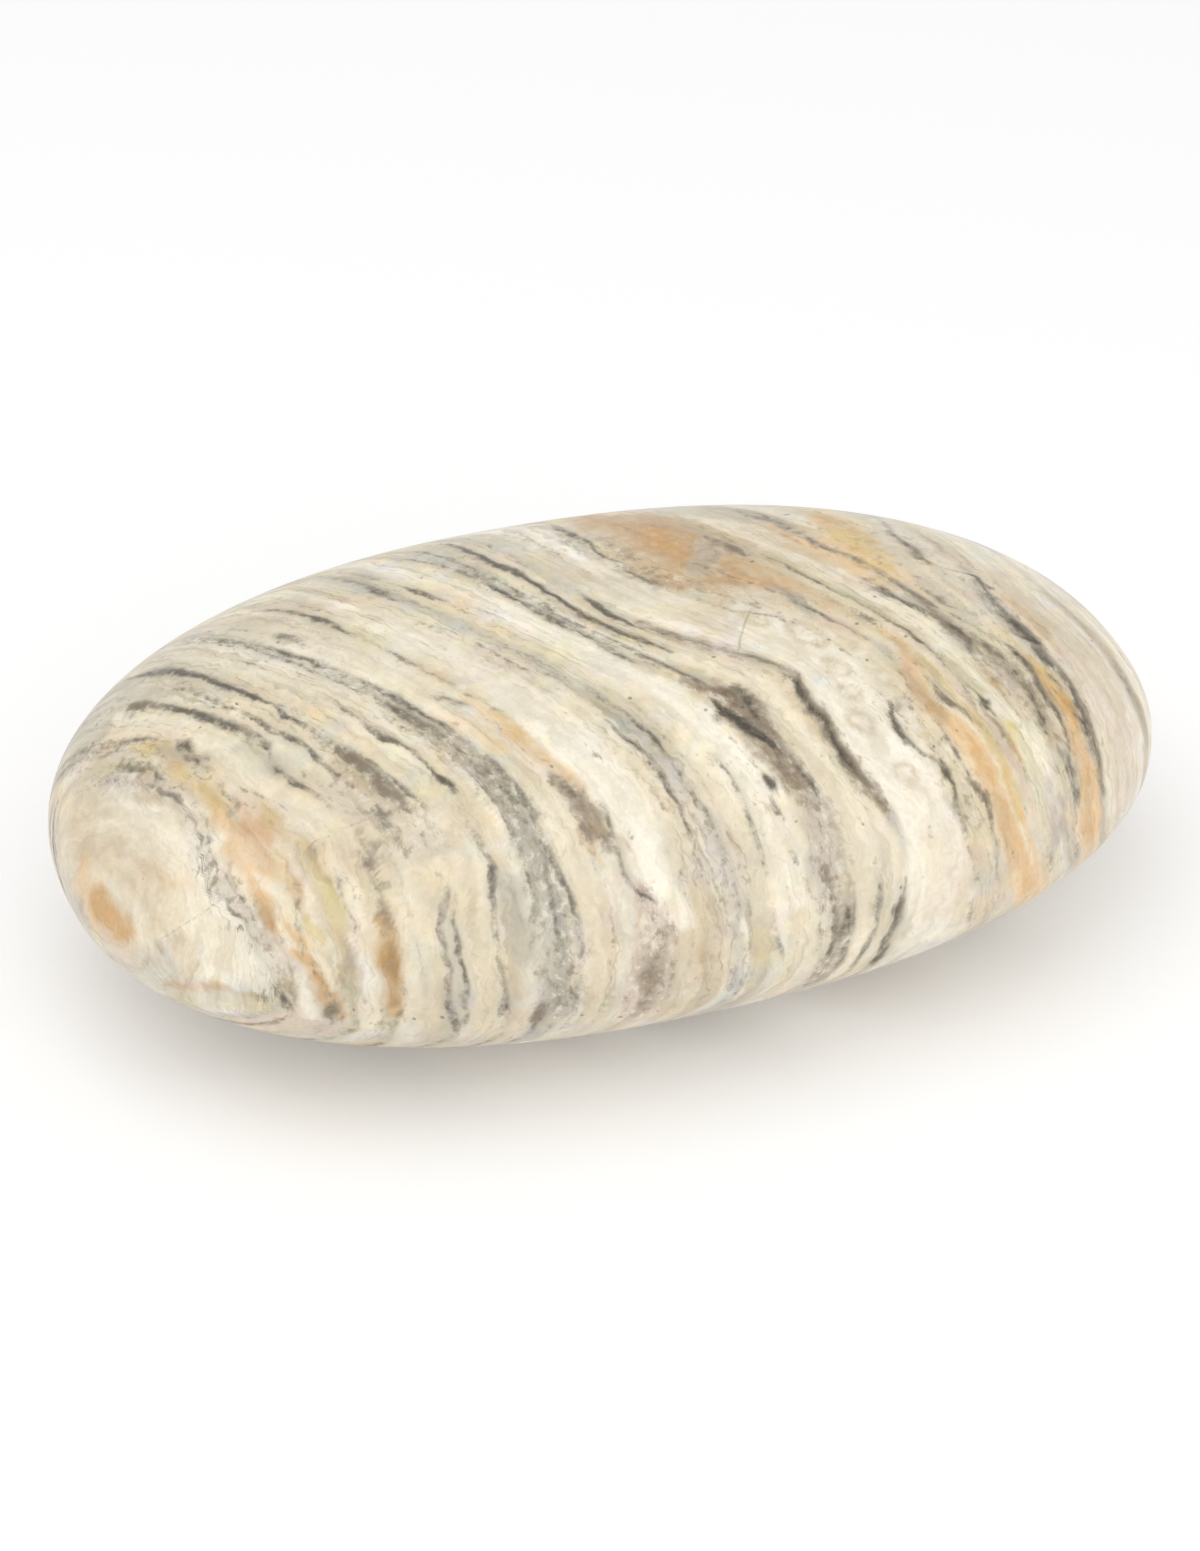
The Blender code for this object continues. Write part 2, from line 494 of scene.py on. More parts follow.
streak(IVORY, .9, 1.2, (-28.8, -12.9, 14.4), (-28.3, -14.2, 13.4), (-27.6, -15.2, 12.3),
       (-26.8, -15.8, 11.8))
streak(ASH, .6, .35, (-31.5, -11.7, 11.9), (-31.3, -12.1, 11.4), (-31, -12.6, 10.4))
streak(EARTH, .6, .16, (-31.5, -11.7, 11.9), (-31.4, -11.9, 11.6))
streak(IVORY, .7, .16, (-31.3, -11.7, 12.3), (-30.3, -12.3, 13.3), (-29.3, -12.6, 14.2))
streak(OCHRE, .5, .25, (-31.4, -11.8, 9.1), (-30, -13.7, 9.8), (-28.8, -14.8, 10.5), (-27.9, -15.5, 10.2),
       (-26.8, -16.3, 10.2))
streak(GOLD, .35, .7, (-30.5, -12.4, 8.3), (-28.7, -14.8, 9.3), (-26.8, -16.3, 9.5))
stain(CREAM, .5, (-30, -30.2, .5), (-15, -30, .7), (0, -30, .8), (12, -30.4, .7), (22, -31.2, .4))
stain(ASH, .4, (-50, -28.5, .3), (-28, -28.5, .3), (-15, -28.4, .2), (-2, -28.7, .2), (8, -29.3, .2),
      (16, -30, .25), (22, -30.6, .3))
stain(LILAC, .6, (-36, -27.8, .2), (-25, -27.9, .28), (-15, -27.8, .25), (-8, -27.8, .2), (4, -27.95, .2),
      (8, -28.2, .12))
stain(SEDGE, .6, (-48, -26.9, .4), (-38, -27, .45), (-32, -26.8, .45), (-24, -26.9, .4), (-18, -27, .3))
stain(OLIVE, .75, (-31, -27, .12), (-28, -27, .22), (-25, -27.1, .22), (-23, -27.3, .15))
stain(OLIVE, .4, (-24, -26.9, .12), (-20, -26.9, .12), (-16, -27.1, .1))
stain(ASH, .5, (-37, -26.2, .3), (-28, -26.4, .3))
stain(LILAC, .4, (-60, -26.2, .4), (-52, -26.2, .45), (-40, -26.3, .3))
stain(OLIVE, .65, (-38, -25.55, .15), (-33, -25.35, .17), (-27, -25.25, .12), (-23, -25.2, .1))
stain(GOLD, .7, (-30, -25.9, .2), (-25, -25.8, .35), (-19, -25.7, .35), (-15, -25.7, .15))
stain(HONEY, .8, (-21, -25.35, .2), (-17, -25.95, .22), (-14, -26.4, .28), (-11, -26.8, .35),
      (-8, -27.1, .4), (-4, -27.3, .3), (0, -27.4, .35), (5, -27.6, .4), (9, -27.9, .35), (12, -28.2, .2))
stain(RUST, .5, (-17, -26.3, .12), (-13, -26.6, .22), (-10, -26.7, .12))
stain(GOLD, .8, *spot(-9, -26.9, 2.6, .3))
stain(GOLD, .6, *spot(-1, -27.3, 4, .25))
stain(ROSE, .6, (-7, -27.4, .12), (-4, -27, .25), (-2, -26.8, .2), (1, -26.9, .1))
stain(CREAM, .6, (-35, -24.4, .5), (-20, -24.5, .6), (-5, -25.3, .6), (8, -25.9, .5), (22, -26.2, .6),
      (28, -26.2, .4))
stain(ROSE, .35, (-30, -24.8, .3), (-20, -24.7, .3))
stain(APRICOT, .8, (12, -28.3, .25), (16, -28.3, .5), (20, -28.6, .55), (24, -28.9, .55), (28, -29.3, .45),
      (33, -29.5, .35), (40, -29.75, .25), (46, -29.9, .15))
stain(SALMON, .6, (12, -27.5, .15), (15, -27.6, .25), (20, -27.9, .45), (24, -28.15, .5), (28, -28.6, .35),
      (31, -28.9, .25))
stain(SALMON, .8, *spot(20.5, -28, 2.6, .45))
stain(RUST, .6, *spot(21, -28, 2.6, .4))
stain(RUST, .4, (30, -28.7, .2), (33, -28.9, .3), (38, -29, .22))
stain(ROSE, .5, *spot(29, -29, 1.6, .3))
stain(HONEY, .7, (17, -27, .2), (22, -27.2, .3), (27, -27.6, .2))
stain(RUST, .4, (33, -29.7, .12), (38, -29.8, .15), (43, -29.9, .12))
stain(OCHRE, .65, (37, -28.5, .1), (41, -28.7, .18), (44, -28.8, .2), (48, -28.95, .1))
stain(RUST, .8, (44, -30.1, .12), (48, -30.05, .2), (54, -30.15, .16), (58, -30.2, .1))
stain(IVORY, .5, (24, -29.9, .12), (30, -29.9, .15), (36, -29.45, .12), (44, -29.4, .15))
stain(LILAC, .6, (22, -30, .15), (27, -29.8, .2), (31, -30.4, .2), (42, -30.6, .25), (54, -30.5, .25),
      (64, -30.4, .2))
stain(ASH, .5, (60, -30.8, .3), (72, -30.6, .3), (84, -30.5, .3), (96, -30.5, .2))
stain(LILAC, .5, *spot(79, -30.1, 3, .2))
stain(CREAM, .75, (30, -31.7, .4), (50, -31.8, .5), (70, -31.6, .4), (85, -31.5, .3))
stain(HONEY, .75, (31, -27.3, .3), (34, -27.2, .4), (38, -27.4, .28), (44, -27.6, .2))
stain(EARTH, .7, *spot(33.5, -27.2, 1.5, .2))
stain(STRAW, .5, (38, -27.8, .2), (46, -27.9, .3), (52, -28, .36), (60, -28.2, .3), (68, -28.3, .2))
stain(STRAW, .35, *spot(50, -27.75, 5, .3))
stain(ROSE, .4, *spot(57, -27.8, 3, .15))
stain(GOLD, .5, *spot(55, -28.2, 5, .3))
stain(OLIVE, .45, *spot(35.5, -27.5, 1.6, .25))
stain(EARTH, .4, *spot(43, -27.55, 1.5, .15))
stain(GOLD, .8, *spot(60, -28.95, 5, .25))
stain(APRICOT, .7, (57, -29.7, .15), (66, -29.6, .3), (72, -29.5, .28), (78, -29.25, .2), (84, -29.1, .18))
stain(OCHRE, .4, (61, -29.7, .12), (68, -29.65, .16), (75, -29.4, .12))
stain(RUST, .85, (82, -29.1, .12), (87, -28.9, .2), (92, -28.7, .28), (97, -28.5, .3), (101, -28.35, .2),
      (106, -27.9, .12))
stain(CREAM, .7, (66, -29.9, .12), (72, -29.1, .12), (80, -28.9, .15), (88, -28.6, .12))
stain(LILAC, .35, (48, -27.4, .15), (62, -27.6, .2), (75, -27.7, .2), (85, -27.7, .2), (95, -27.5, .15))
stain(TAUPE, .6, (66, -28.1, .12), (72, -28, .2), (78, -28.1, .12))
stain(OLIVE, .35, (78, -28.4, .1), (88, -28.35, .12), (96, -28.2, .1))
stain(SEDGE, .5, *spot(90, -28.1, 5, .15))
stain(OLIVE, .5, (84, -30.1, .12), (90, -29.9, .2), (96, -29.6, .2), (101, -29.4, .12))
stain(IVORY, .85, (84, -29.7, .1), (92, -29.5, .15), (98, -29.4, .2), (104, -29.1, .24), (110, -28.8, .24))
stain(SALMON, .5, *spot(104.5, -27.8, 2.5, .15))
stain(CREAM, .5, (52, -28.6, .2), (62, -28.6, .2), (72, -28.7, .2))
stain(ROSE, .4, *spot(64, -28.2, 4, .2))
stain(SAND, .6, (28, -26.6, .5), (36, -26.9, .4), (46, -27, .4), (60, -27.1, .3), (75, -27.2, .3))
stain(TAN, .55, (54, -26.5, .4), (66, -26.7, .55), (80, -26.7, .6), (92, -26.6, .5), (102, -26.2, .35))
stain(OCHRE, .85, (60, -26.5, .2), (68, -26.6, .33), (76, -26.6, .38), (88, -26.6, .35), (95, -26.4, .25),
      (102, -26.1, .2))
stain(EARTH, .65, (70, -26.5, .15), (78, -26.55, .25), (90, -26.5, .2), (95, -26.4, .12))
stain(SAND, .5, (58, -25.4, .5), (75, -25.6, .6), (90, -25.4, .6), (105, -25, .6))
stain(ASH, .45, (66, -25.6, .15), (76, -25.5, .2), (90, -25.3, .15))
stain(CREAM, .5, (-60, -22, .2), (-30, -22.4, .22), (-10, -23, .22), (5, -23.8, .25))
stain(CREAM, .5, (-50, -20.6, .25), (-30, -20.9, .2), (-10, -21.8, .2), (10, -22.6, .25))
stain(CREAM, .65, (36, -22.4, .5), (48, -22.2, .45), (58, -22.9, .4), (70, -23.3, .4), (84, -23.2, .3),
      (95, -22.9, .3))
stain(SEDGE, .45, (54, -22.8, .15), (63, -22.9, .25), (72, -22.9, .15))
stain(ASH, .6, (57, -24.1, .2), (70, -24.3, .2), (85, -24.1, .2), (100, -23.7, .2), (112, -23.2, .2))
stain(BUFF, .5, (62, -21.7, .25), (72, -21.6, .35), (84, -21.5, .3), (92, -21.2, .25))
stain(SAND, .4, (44, -24.6, .8), (52, -24.8, .7), (62, -25.2, .4))
stain(TAN, .35, (14, -22.9, .5), (22, -23, .8), (32, -23.2, .8))
stain(OLIVE, .4, (20, -22.9, .3), (25, -23, .4), (30, -23.2, .25))
stain(ASH, .45, (-30, -17.2, .25), (-18, -17.5, .3), (-8, -17.7, .3), (6, -17.9, .35))
stain(TAUPE, .55, (7, -18.1, .3), (14, -18.3, .6), (24, -18.2, .65), (32, -18.4, .5))
stain(SLATE, .5, (28, -18.5, .5), (36, -18.7, .7), (44, -18.9, .75), (50, -19.2, .5))
stain(SLATE, .45, (46, -19.2, .4), (56, -19.5, .7), (70, -19.5, .75), (90, -19.4, .75), (104, -19, .5))
stain(ASH, .7, (56, -20.5, .25), (66, -20.5, .45), (78, -20.5, .45), (88, -20.4, .3))
stain(CREAM, .7, (-35, -18.6, .5), (-20, -19.1, .5), (0, -19.5, .4), (10, -20.6, .3))
stain(SAND, .5, (58, -19, .12), (75, -19.1, .14), (95, -18.9, .12))
stain(CREAM, .8, (40, -16.9, .5), (50, -17.8, .6), (60, -17.9, .5), (64, -17.7, .3))
stain(SAND, .6, (60, -18.1, .4), (75, -17.9, .5), (95, -17.7, .5), (110, -17.3, .5))
stain(IVORY, .75, (60, -16.7, .2), (75, -16.6, .3), (88, -16.5, .3), (98, -16, .2))
stain(APRICOT, .7, (14, -15.4, .2), (20, -15.4, .4), (30, -15.4, .45), (37, -15.2, .3))
stain(HONEY, .4, *spot(24, -15.35, 6, .22))
stain(APRICOT, .3, (16, -17, .3), (24, -16.8, .4))
stain(IVORY, .6, (14, -13.6, .8), (26, -14, .8), (45, -14, .9), (60, -14.6, .8), (66, -14.8, .5))
stain(APRICOT, .6, (48, -16.6, .25), (54, -16.6, .2))
stain(TAUPE, .7, (36, -15.8, .35), (43, -15.8, .6), (49, -16.1, .5))
stain(RUST, .5, *spot(48.5, -16, 2.5, .35))
stain(ASH, .6, (51, -15.9, .25), (58, -15.9, .25), (66, -15.4, .2))
stain(ROSE, .7, (65, -15.5, .3), (70, -15.2, .8), (80, -15.1, 1), (92, -15, 1), (102, -14.8, .9),
      (112, -14.5, .7))
stain(LILAC, .55, (68, -15.2, .4), (76, -15, .7), (86, -15.1, .9), (96, -14.9, .8), (108, -14.6, .6))
stain(TAUPE, .5, (84, -14.9, .4), (91, -15, .6), (98, -14.8, .4), (108, -14.6, .5))
stain(CREAM, .7, *spot(80.5, -15.1, 2.2, .3))
stain(CREAM, .5, *spot(74, -15.6, 3, .25))
stain(IVORY, .7, (70, -13.6, .25), (85, -13.5, .3), (96, -13.1, .3))
stain(TAN, .45, (68, -12.6, .4), (80, -12.3, .9), (92, -11.8, .9), (104, -11.3, .8), (114, -11, .6))
stain(IVORY, .5, (-22, -12, 1), (0, -12.8, 1), (20, -12.8, .9), (38, -13.4, 1), (52, -13.8, .9))
stain(LILAC, .5, (38, -11, .4), (46, -11, .6), (56, -11.1, .7), (64, -11.4, .9), (74, -11.2, .8))
stain(TAN, .4, (56, -13, .4), (64, -13, .4), (70, -12.9, .3))
stain(TAN, .4, (-40, -12.2, .7), (-32, -12.6, .8), (-24, -12.9, .6), (-16, -12.4, .4))
stain(BUFF, .4, (-34, -14.4, .5), (-26, -14.8, .6), (-18, -15.1, .4))
stain(ASH, .5, (-44, -7.4, .3), (-36, -8, .4), (-28, -8.8, .4), (-20, -9.5, .4), (-10, -9.9, .3),
      (5, -10.3, .25), (20, -10.1, .25), (36, -10, .25))
stain(IVORY, .6, (44, -8, .5), (56, -8.1, .6), (66, -8.3, .5), (76, -8.1, .4))
stain(TAN, .35, (46, -9.3, .4), (60, -9.6, .5), (70, -9.6, .3))
stain(IVORY, .5, (78, -10.5, .15), (88, -10.2, .2), (100, -9.6, .2), (108, -9.1, .15))
stain(GOLD, .35, (80, -7.4, .5), (92, -7.2, .8), (102, -6.9, .8), (112, -6.6, .6))
stain(IVORY, .7, (-6, -7.4, .4), (6, -7.7, .4), (20, -7.5, .6), (32, -6.8, .7), (44, -7.2, .6))
stain(ASH, .5, (-30, -4.7, .25), (-20, -5, .3), (-10, -5.8, .3), (0, -6.6, .4), (10, -6.8, .5),
      (19, -6.7, .5))
stain(IVORY, .6, (-8, -5.3, .15), (0, -5.9, .2), (10, -6.1, .2), (18, -5.3, .25))
stain(TAUPE, .7, (27, -4.8, .5), (34, -4.8, 1), (42, -5, .9), (50, -5.2, .7), (58, -5.3, .8),
      (66, -5.1, .8))
stain(CREAM, .6, (22, -3.8, .6), (30, -2.4, .6), (42, -3.4, .7), (54, -3.4, .7), (64, -3.4, .7),
      (75, -3.6, .5))
stain(LILAC, .75, (68, -6.4, .4), (74, -5.9, .6), (80, -5.5, .8), (86, -5, .6))
stain(TAUPE, .6, (80, -4.9, .5), (88, -4.9, .5), (98, -4.8, .5), (110, -4.6, .5))
stain(LILAC, .8, (90, -4.8, .15), (94, -4.75, .25), (99, -4.6, .2))
stain(ASH, .6, (78, -2.9, .2), (90, -2.8, .25), (104, -2.7, .3))
stain(TAUPE, .5, (98, -1.7, .3), (106, -1.3, .5), (112, -1, .4))
stain(CREAM, .75, (74, -3.9, .3), (86, -3.7, .3), (98, -3.7, .3), (108, -3.4, .3))
stain(TAUPE, .5, (12, -3.6, .4), (18, -2.9, .5), (24, -1.5, .4), (29, -.4, .35))
stain(IVORY, .9, (36, 0, .9), (44, -.4, .8), (50, .1, 1.2), (60, .5, 1.3), (75, .7, 1.4), (90, .8, 1.4),
      (100, 1, 1.2))
stain(ROSE, .35, (58, 1.4, .5), (76, 1.9, .6), (92, 1.8, .8))
stain(CREAM, .6, (52, 1.6, .4), (64, 1.4, .6), (78, 1.2, .5))
stain(APRICOT, .2, (58, .6, .4), (76, .7, .5), (92, .6, .6))
stain(CREAM, .7, (20, 1.6, 1), (30, 2.2, 1.2), (38, 2.6, 1))
stain(SLATE, .4, (-29, 4.2, .3), (-22, 3, .3), (-16, 1.9, .25), (-11, .9, .2))
stain(SAND, .6, (-16, -.6, .9), (-4, -2, .9), (8, -1.6, 1.1), (16, -.4, .8))

# Broad, weak washes, where a stretch of rock is paler, greyer or browner than its sheets. The grey ones
# over the back of the -X half are partly the rock's own grey and partly a painted sheen.
# These two grey washes over the back are partly a painted sheen, paler and greyer where the polish catches
# the room.
stain(ASH, .6, (-70, -22.6, .8), (-58, -22, 1), (-45, -21.8, .9), (-36, -22, .4))
stain(SLATE, .45, (-66, -20.6, .6), (-52, -20.2, .8), (-42, -19.8, .6))
stain(CREAM, .5, (-28, -15.4, .6), (-14, -15.6, .8), (0, -15.8, .8), (12, -16.2, .5))
stain(CREAM, .45, (-16, -18.6, .5), (0, -18.4, .6), (12, -19.2, .5))
stain(TAN, .5, (-16, -28.6, .3), (0, -28.9, .4), (14, -29, .4))
stain(ASH, .5, (-20, -25.9, .3), (-12, -26, .4), (-6, -26.2, .3))
stain(ASH, .55, (-2, -24.4, .4), (10, -24.5, .6), (22, -24.4, .6), (32, -23.4, .7), (42, -23, .6))
stain(TAN, .35, (32, -26.2, .6), (44, -26.2, .7), (56, -25.9, .5))
stain(ASH, .6, (54, -21.2, .5), (64, -21.3, .7), (78, -21.2, .7), (88, -21, .5))
stain(SAND, .6, (62, -22.9, .5), (76, -22.8, .6), (94, -22.6, .5), (108, -22.2, .5))
stain(CREAM, .5, (30, -12, .3), (44, -12.2, .5), (60, -13, .4))
stain(CREAM, .4, (36, -9, .4), (52, -9.2, .5), (70, -9.3, .5))
stain(TAN, .5, (80, -13.4, .7), (96, -13.2, .9), (112, -12.8, .9))
stain(ASH, .4, (82, -6.2, .6), (94, -6.1, .8), (108, -5.9, .8))
stain(CREAM, .5, (54, -4.2, .5), (64, -4.1, .7), (78, -3.6, .6))
stain(CREAM, .5, (44, -2.6, .4), (60, -2.2, .5), (76, -2, .4))
stain(ASH, .4, (-38, 0, .6), (-28, -.2, .8), (-20, -.6, .5))
stain(ASH, .45, (-34, 12.2, 1), (-22, 11.8, 1.2), (-12, 12.4, .9))
stain(TAN, .35, (-20, 14.2, .8), (-10, 13.6, .9), (0, 13, .5))
stain(ASH, .5, (10, 18.9, .6), (20, 18.8, .7), (30, 18, .4))
stain(TAN, .27, (16, -25.4, 3), (30, -24.6, 5.2), (42, -24, 3.6))
stain(IVORY, .3, (-34, -15.8, 1.6), (-15, -16.4, 2.4), (2, -16.6, 1.8))
stain(CREAM, .3, (50, -9.4, 1.6), (66, -5.2, 4.6), (84, -3.4, 4.2), (100, -4, 2.8))
# Partly a painted sheen: a broad grey wash over the back of the -X half.
stain(ASH, .3, (-72, -18.5, 4), (-45, -18.5, 4.5), (-24, -18, 2.5))
stain(APRICOT, .3, (-6, 13.6, 2.4), (6, 13.4, 3.2), (18, 13, 2.4))
stain(ASH, .4, (-36, 12.2, 1.6), (-22, 11.8, 2), (-12, 12.4, 1.5))
stain(IVORY, .6, (16, 2.4, .6), (26, 2.8, 1.1), (38, 2.4, 1.3), (50, 2.2, .8), (66, 1.2, .8))
stain(SAND, .5, (12, 20.2, .8), (22, 19.8, 1), (34, 19.2, .7))
stain(ROSE, .35, (4, 18.6, 1.2), (20, 18.6, 1.6), (44, 19.6, 1.8), (70, 19.4, 1.8))
stain(SHELL, .4, (54, 17.4, 1.2), (66, 16.8, 1.6), (80, 16.8, 1.4))
stain(LILAC, .7, *spot(75, 10.3, 4, .5))
stain(LILAC, .6, *spot(85, 9.5, 4, .45))
stain(LILAC, .5, (52, -4.8, .4), (58, -5.2, .7), (66, -5.6, .8), (74, -5.9, .8))
# Partly a painted sheen: a grey wash over the back of the -X half.
stain(SLATE, .5, (-76, -24.8, 1.6), (-60, -24.4, 2), (-48, -24.2, 1))
stain(CREAM, .5, (-52, -16.6, .5), (-44, -16.9, .7), (-36, -17, .4))
stain(CREAM, .5, (-50, -3, .4), (-44, -3.2, .5), (-36, -3.4, .3))
stain(ASH, .45, (-36, .4, .8), (-29, .6, 1), (-22, .2, .6))
stain(SLATE, .45, (56, -21.2, .4), (66, -21.3, .5), (78, -21.2, .5))
stain(TAN, .4, (-20, -27.4, .5), (-8, -27.5, .7), (4, -27.9, .5))
stain(TAUPE, .4, (-20, -25.7, .3), (-14, -25.7, .5), (-8, -25.8, .3))
stain(TAN, .5, (40, 10.3, .4), (45, 10.3, .6), (51, 10.2, .4))
stain(TAN, .4, (-7, 8.8, .3), (0, 8.8, .4), (7, 8.8, .3))
stain(CREAM, .5, (96, -2, .4), (104, -1.9, .6), (112, -1.7, .5))
stain(TAN, .4, (82, 2.9, .4), (90, 2.9, .6), (98, 3.1, .4))
stain(TAN, .35, (84, 5.5, .3), (91, 5.7, .5), (98, 6.1, .3))
stain(TAN, .4, (-24, 13.6, 1.2), (-15, 13.4, 1.8), (-7, 13.4, 1))
stain(IVORY, .4, (48, 19.2, .8), (58, 18.4, 1.3), (70, 17.8, 1.3), (84, 17.4, 1))

# Curls in the pale rock, each as the (lap, place) that the sheets wrapped round, and a radius.
MM_PER_DEGREE = 0.3
CURLS = (
    (23, 3, .9), (31, 2.2, .6), (42, .5, .7), (36, 1.5, .5), (27, 4.3, .5), (54, .8, .6), (17, 1.6, .6),
)
for lap_at, place_at, radius in CURLS:
    from_curl = np.hypot((lap - lap_at) * MM_PER_DEGREE, place - place_at)
    tint_over(TAN, 0.55, np.abs(from_curl - radius) / 0.16 + fray * 2)
    tint_over(IVORY, 0.4, np.abs(from_curl - radius * 1.5) / 0.25 + fray)

# Stains of the far side and the belly, where the sheets run on.
FAR_STAINS = 46
FAR_COLOURS = (APRICOT, TAN, ASH, CREAM, ROSE, BUFF, IVORY, LILAC, HONEY, TAUPE, IVORY, RUST)
far_side = np.random.default_rng(5)
for number in range(FAR_STAINS):
    first = far_side.uniform(128, 250)
    long = far_side.uniform(16, 50)
    middle = far_side.uniform(-30, 26)
    half = far_side.uniform(0.25, 1.1)
    sway = far_side.uniform(-0.5, 0.5)
    strength = far_side.uniform(0.45, 0.85)
    stain(
        FAR_COLOURS[number % len(FAR_COLOURS)],
        strength,
        (first, middle - sway, half * 0.3),
        (first + long * 0.35, middle, half),
        (first + long * 0.7, middle + sway, half * 0.8),
        (first + long, middle + sway, half * 0.25),
    )

# The rust patch over the crown, with amber and olive in it, and the streaks that trail from it.
stain(BUFF, .85, (-32, 8, 1.4), (-22, 7, 2.2), (-14, 6.6, 2.8), (-6, 5.4, 3), (0, 4.5, 3.4), (5, 4.2, 3.4),
      (9, 4.8, 2.4), (12, 6.2, .8))
stain(RUST, .6, (-28, 7.6, .9), (-18, 6.4, 1.6), (-10, 5.8, 2.1), (-4, 5.4, 1.9), (2, 3.8, 1.9),
      (7, 4, 1.6), (10, 5.4, .8))
stain(AMBER, .8, (-14, 6.4, .5), (-10, 5.6, .9), (-7, 5.1, 1), (-4, 4.4, .6))
stain(AMBER, .65, *spot(-6.5, 7, 3, .6))
stain(AMBER, .6, (9, 2.4, .4), (7, 3.2, .8), (5, 3.8, .8), (3.5, 4.4, .4))
stain(RUST, .6, *spot(2.5, 1, 1.6, .8))
stain(BUFF, .5, (-14, 9.6, .6), (-8, 9.2, .8), (-2, 8.9, .6))
stain(AMBER, .45, *spot(-14, 6, 3, .9))
stain(AMBER, .45, *spot(4, 6.3, 3, .4))
stain(AMBER, .4, *spot(1, 1.8, 2.5, .4))
stain(APRICOT, .6, *spot(10.5, 6.4, 2, .6))
stain(BUFF, .5, *spot(6, 6.4, 3, .7))
stain(ASH, .45, (-9, 8, .4), (-4, 6.8, .9), (-1, 5.4, 1.2), (1.5, 3.9, 1.1), (4.5, 2.3, .7), (8, 1.2, .4))
stain(SLATE, .3, (-4, 6.6, .4), (-1, 5.2, .7), (1.5, 3.8, .6), (4, 2.4, .3))
stain(EARTH, .5, *spot(-1.2, 7.3, 1.6, .4))
stain(EARTH, .5, *spot(2, .5, 1, .3))
stain(TAUPE, .5, (-14, 3.2, .4), (-8, 2.2, .5), (-3, 1.3, .5), (3, .9, .4))
stain(BUFF, .7, (-4, 1.9, .6), (3, 1.6, .7), (8, 2.4, .7))
stain(CREAM, .5, (10, 3, .6), (16, 3.3, .6), (20, 3.9, .4))
stain(SLATE, .6, (12.5, 5.2, .3), (15, 5.2, .45), (17.5, 4.8, .3))
stain(BUFF, .45, (14, 6.4, .5), (18, 6.5, .9), (22, 5.8, 1), (26, 5.4, .6))
stain(BUFF, .6, *spot(18, 6.6, 1.6, .6))
stain(ROSE, .6, *spot(22, 5.4, 2.2, .7))
stain(LILAC, .7, *spot(30, 5.9, 1.8, .35))
stain(STRAW, .3, *spot(19, 7.5, 4, .4))
stain(GOLD, .6, *spot(27.5, 7.1, 1.6, .3))
stain(SEDGE, .7, (-8, 8.5, .15), (2, 8.2, .2), (8, 8, .22), (16, 8.2, .2), (24, 8.4, .2))
stain(TAN, .6, (22, 8.4, .12), (27, 8.5, .16), (32, 8.6, .16), (36, 8.5, .12))
stain(CREAM, .7, (24, 8.15, .12), (31, 8.1, .16), (38, 7.8, .14))
stain(SAND, .6, (4, 7.2, .3), (14, 7.4, .3), (24, 7.6, .3))
stain(CREAM, .65, (-12, 10.2, .7), (0, 9.6, .7), (14, 9.3, .6), (30, 9.5, .5))
stain(APRICOT, .75, (-6, 12.2, .4), (-1, 11.8, .5), (4, 11.6, .6), (9, 11.4, .7), (15, 11, .5))
stain(ROSE, .6, *spot(15, 9.9, 2.2, .5))
stain(EARTH, .55, *spot(8, 12.6, 2, .4))
stain(SLATE, .5, (-24, 14, .8), (-16, 13.8, .7), (-9, 13.2, .7), (-4, 12.6, .5), (1, 12.3, .3))
stain(HONEY, .8, (-12, 17.4, .9), (-6, 16.2, 1.3), (0, 14.8, 1.6), (5, 14, 1.5), (10, 13.2, 1.2),
      (14, 12.7, .6))
stain(APRICOT, .5, (-8, 16, .6), (0, 14.4, 1.2), (7, 13.4, 1))
stain(AMBER, .3, (-9, 16.6, .4), (-2, 15, .6), (5, 13.8, .6))
stain(STRAW, .4, *spot(1, 14.6, 4, .8))
stain(BUFF, .5, (-6, 10.4, .5), (0, 10.6, .7), (8, 10.6, .6))
stain(APRICOT, .5, (-20, 19.6, .5), (-13, 18.4, .6), (-7, 17.6, .4))
stain(IVORY, .5, (-26, 15.4, .7), (-18, 15.2, .7), (-11, 15.1, .6), (-6, 14.4, .4))
stain(ASH, .6, (0, 17.4, .4), (8, 16, .5), (16, 14.5, .6), (22, 13.8, .5), (28, 13.4, .4))
stain(EARTH, .4, (5, 17.6, .2), (8, 17.1, .3), (11, 16.7, .2))
stain(CREAM, .6, (-8, 20.4, .6), (2, 19.2, .6), (10, 18.2, .6), (17, 17.2, .5), (24, 15.4, .5),
      (30, 14.9, .4))
stain(SLATE, .4, (-13, 21.4, .3), (-6, 20, .3), (0, 18.6, .2))
stain(ROSE, .5, (2, 20.4, .25), (9, 19.5, .3), (15, 18.3, .25))
stain(SLATE, .55, (15, 10.7, .3), (19, 10.8, .5), (22, 11.2, .5), (26, 11.5, .4))
stain(SLATE, .5, *spot(18, 12.3, 3, .4))
stain(TAUPE, .7, (22, 12, .3), (26, 11.7, .4), (31, 11.6, .6), (35, 11.2, .4))
stain(LILAC, .6, *spot(34, 10.8, 3, .5))
stain(ROSE, .5, *spot(23, 15.6, 2, .5))
stain(OLIVE, .7, *spot(23, 13.2, 1.4, .35))
stain(SALMON, .55, (28, 7.2, .12), (31, 7, .25), (34, 6.35, .4), (37, 5.6, .45), (40, 5, .4))
stain(APRICOT, .6, (34, 6.7, .3), (37, 6.3, .45), (39.5, 5.7, .4))
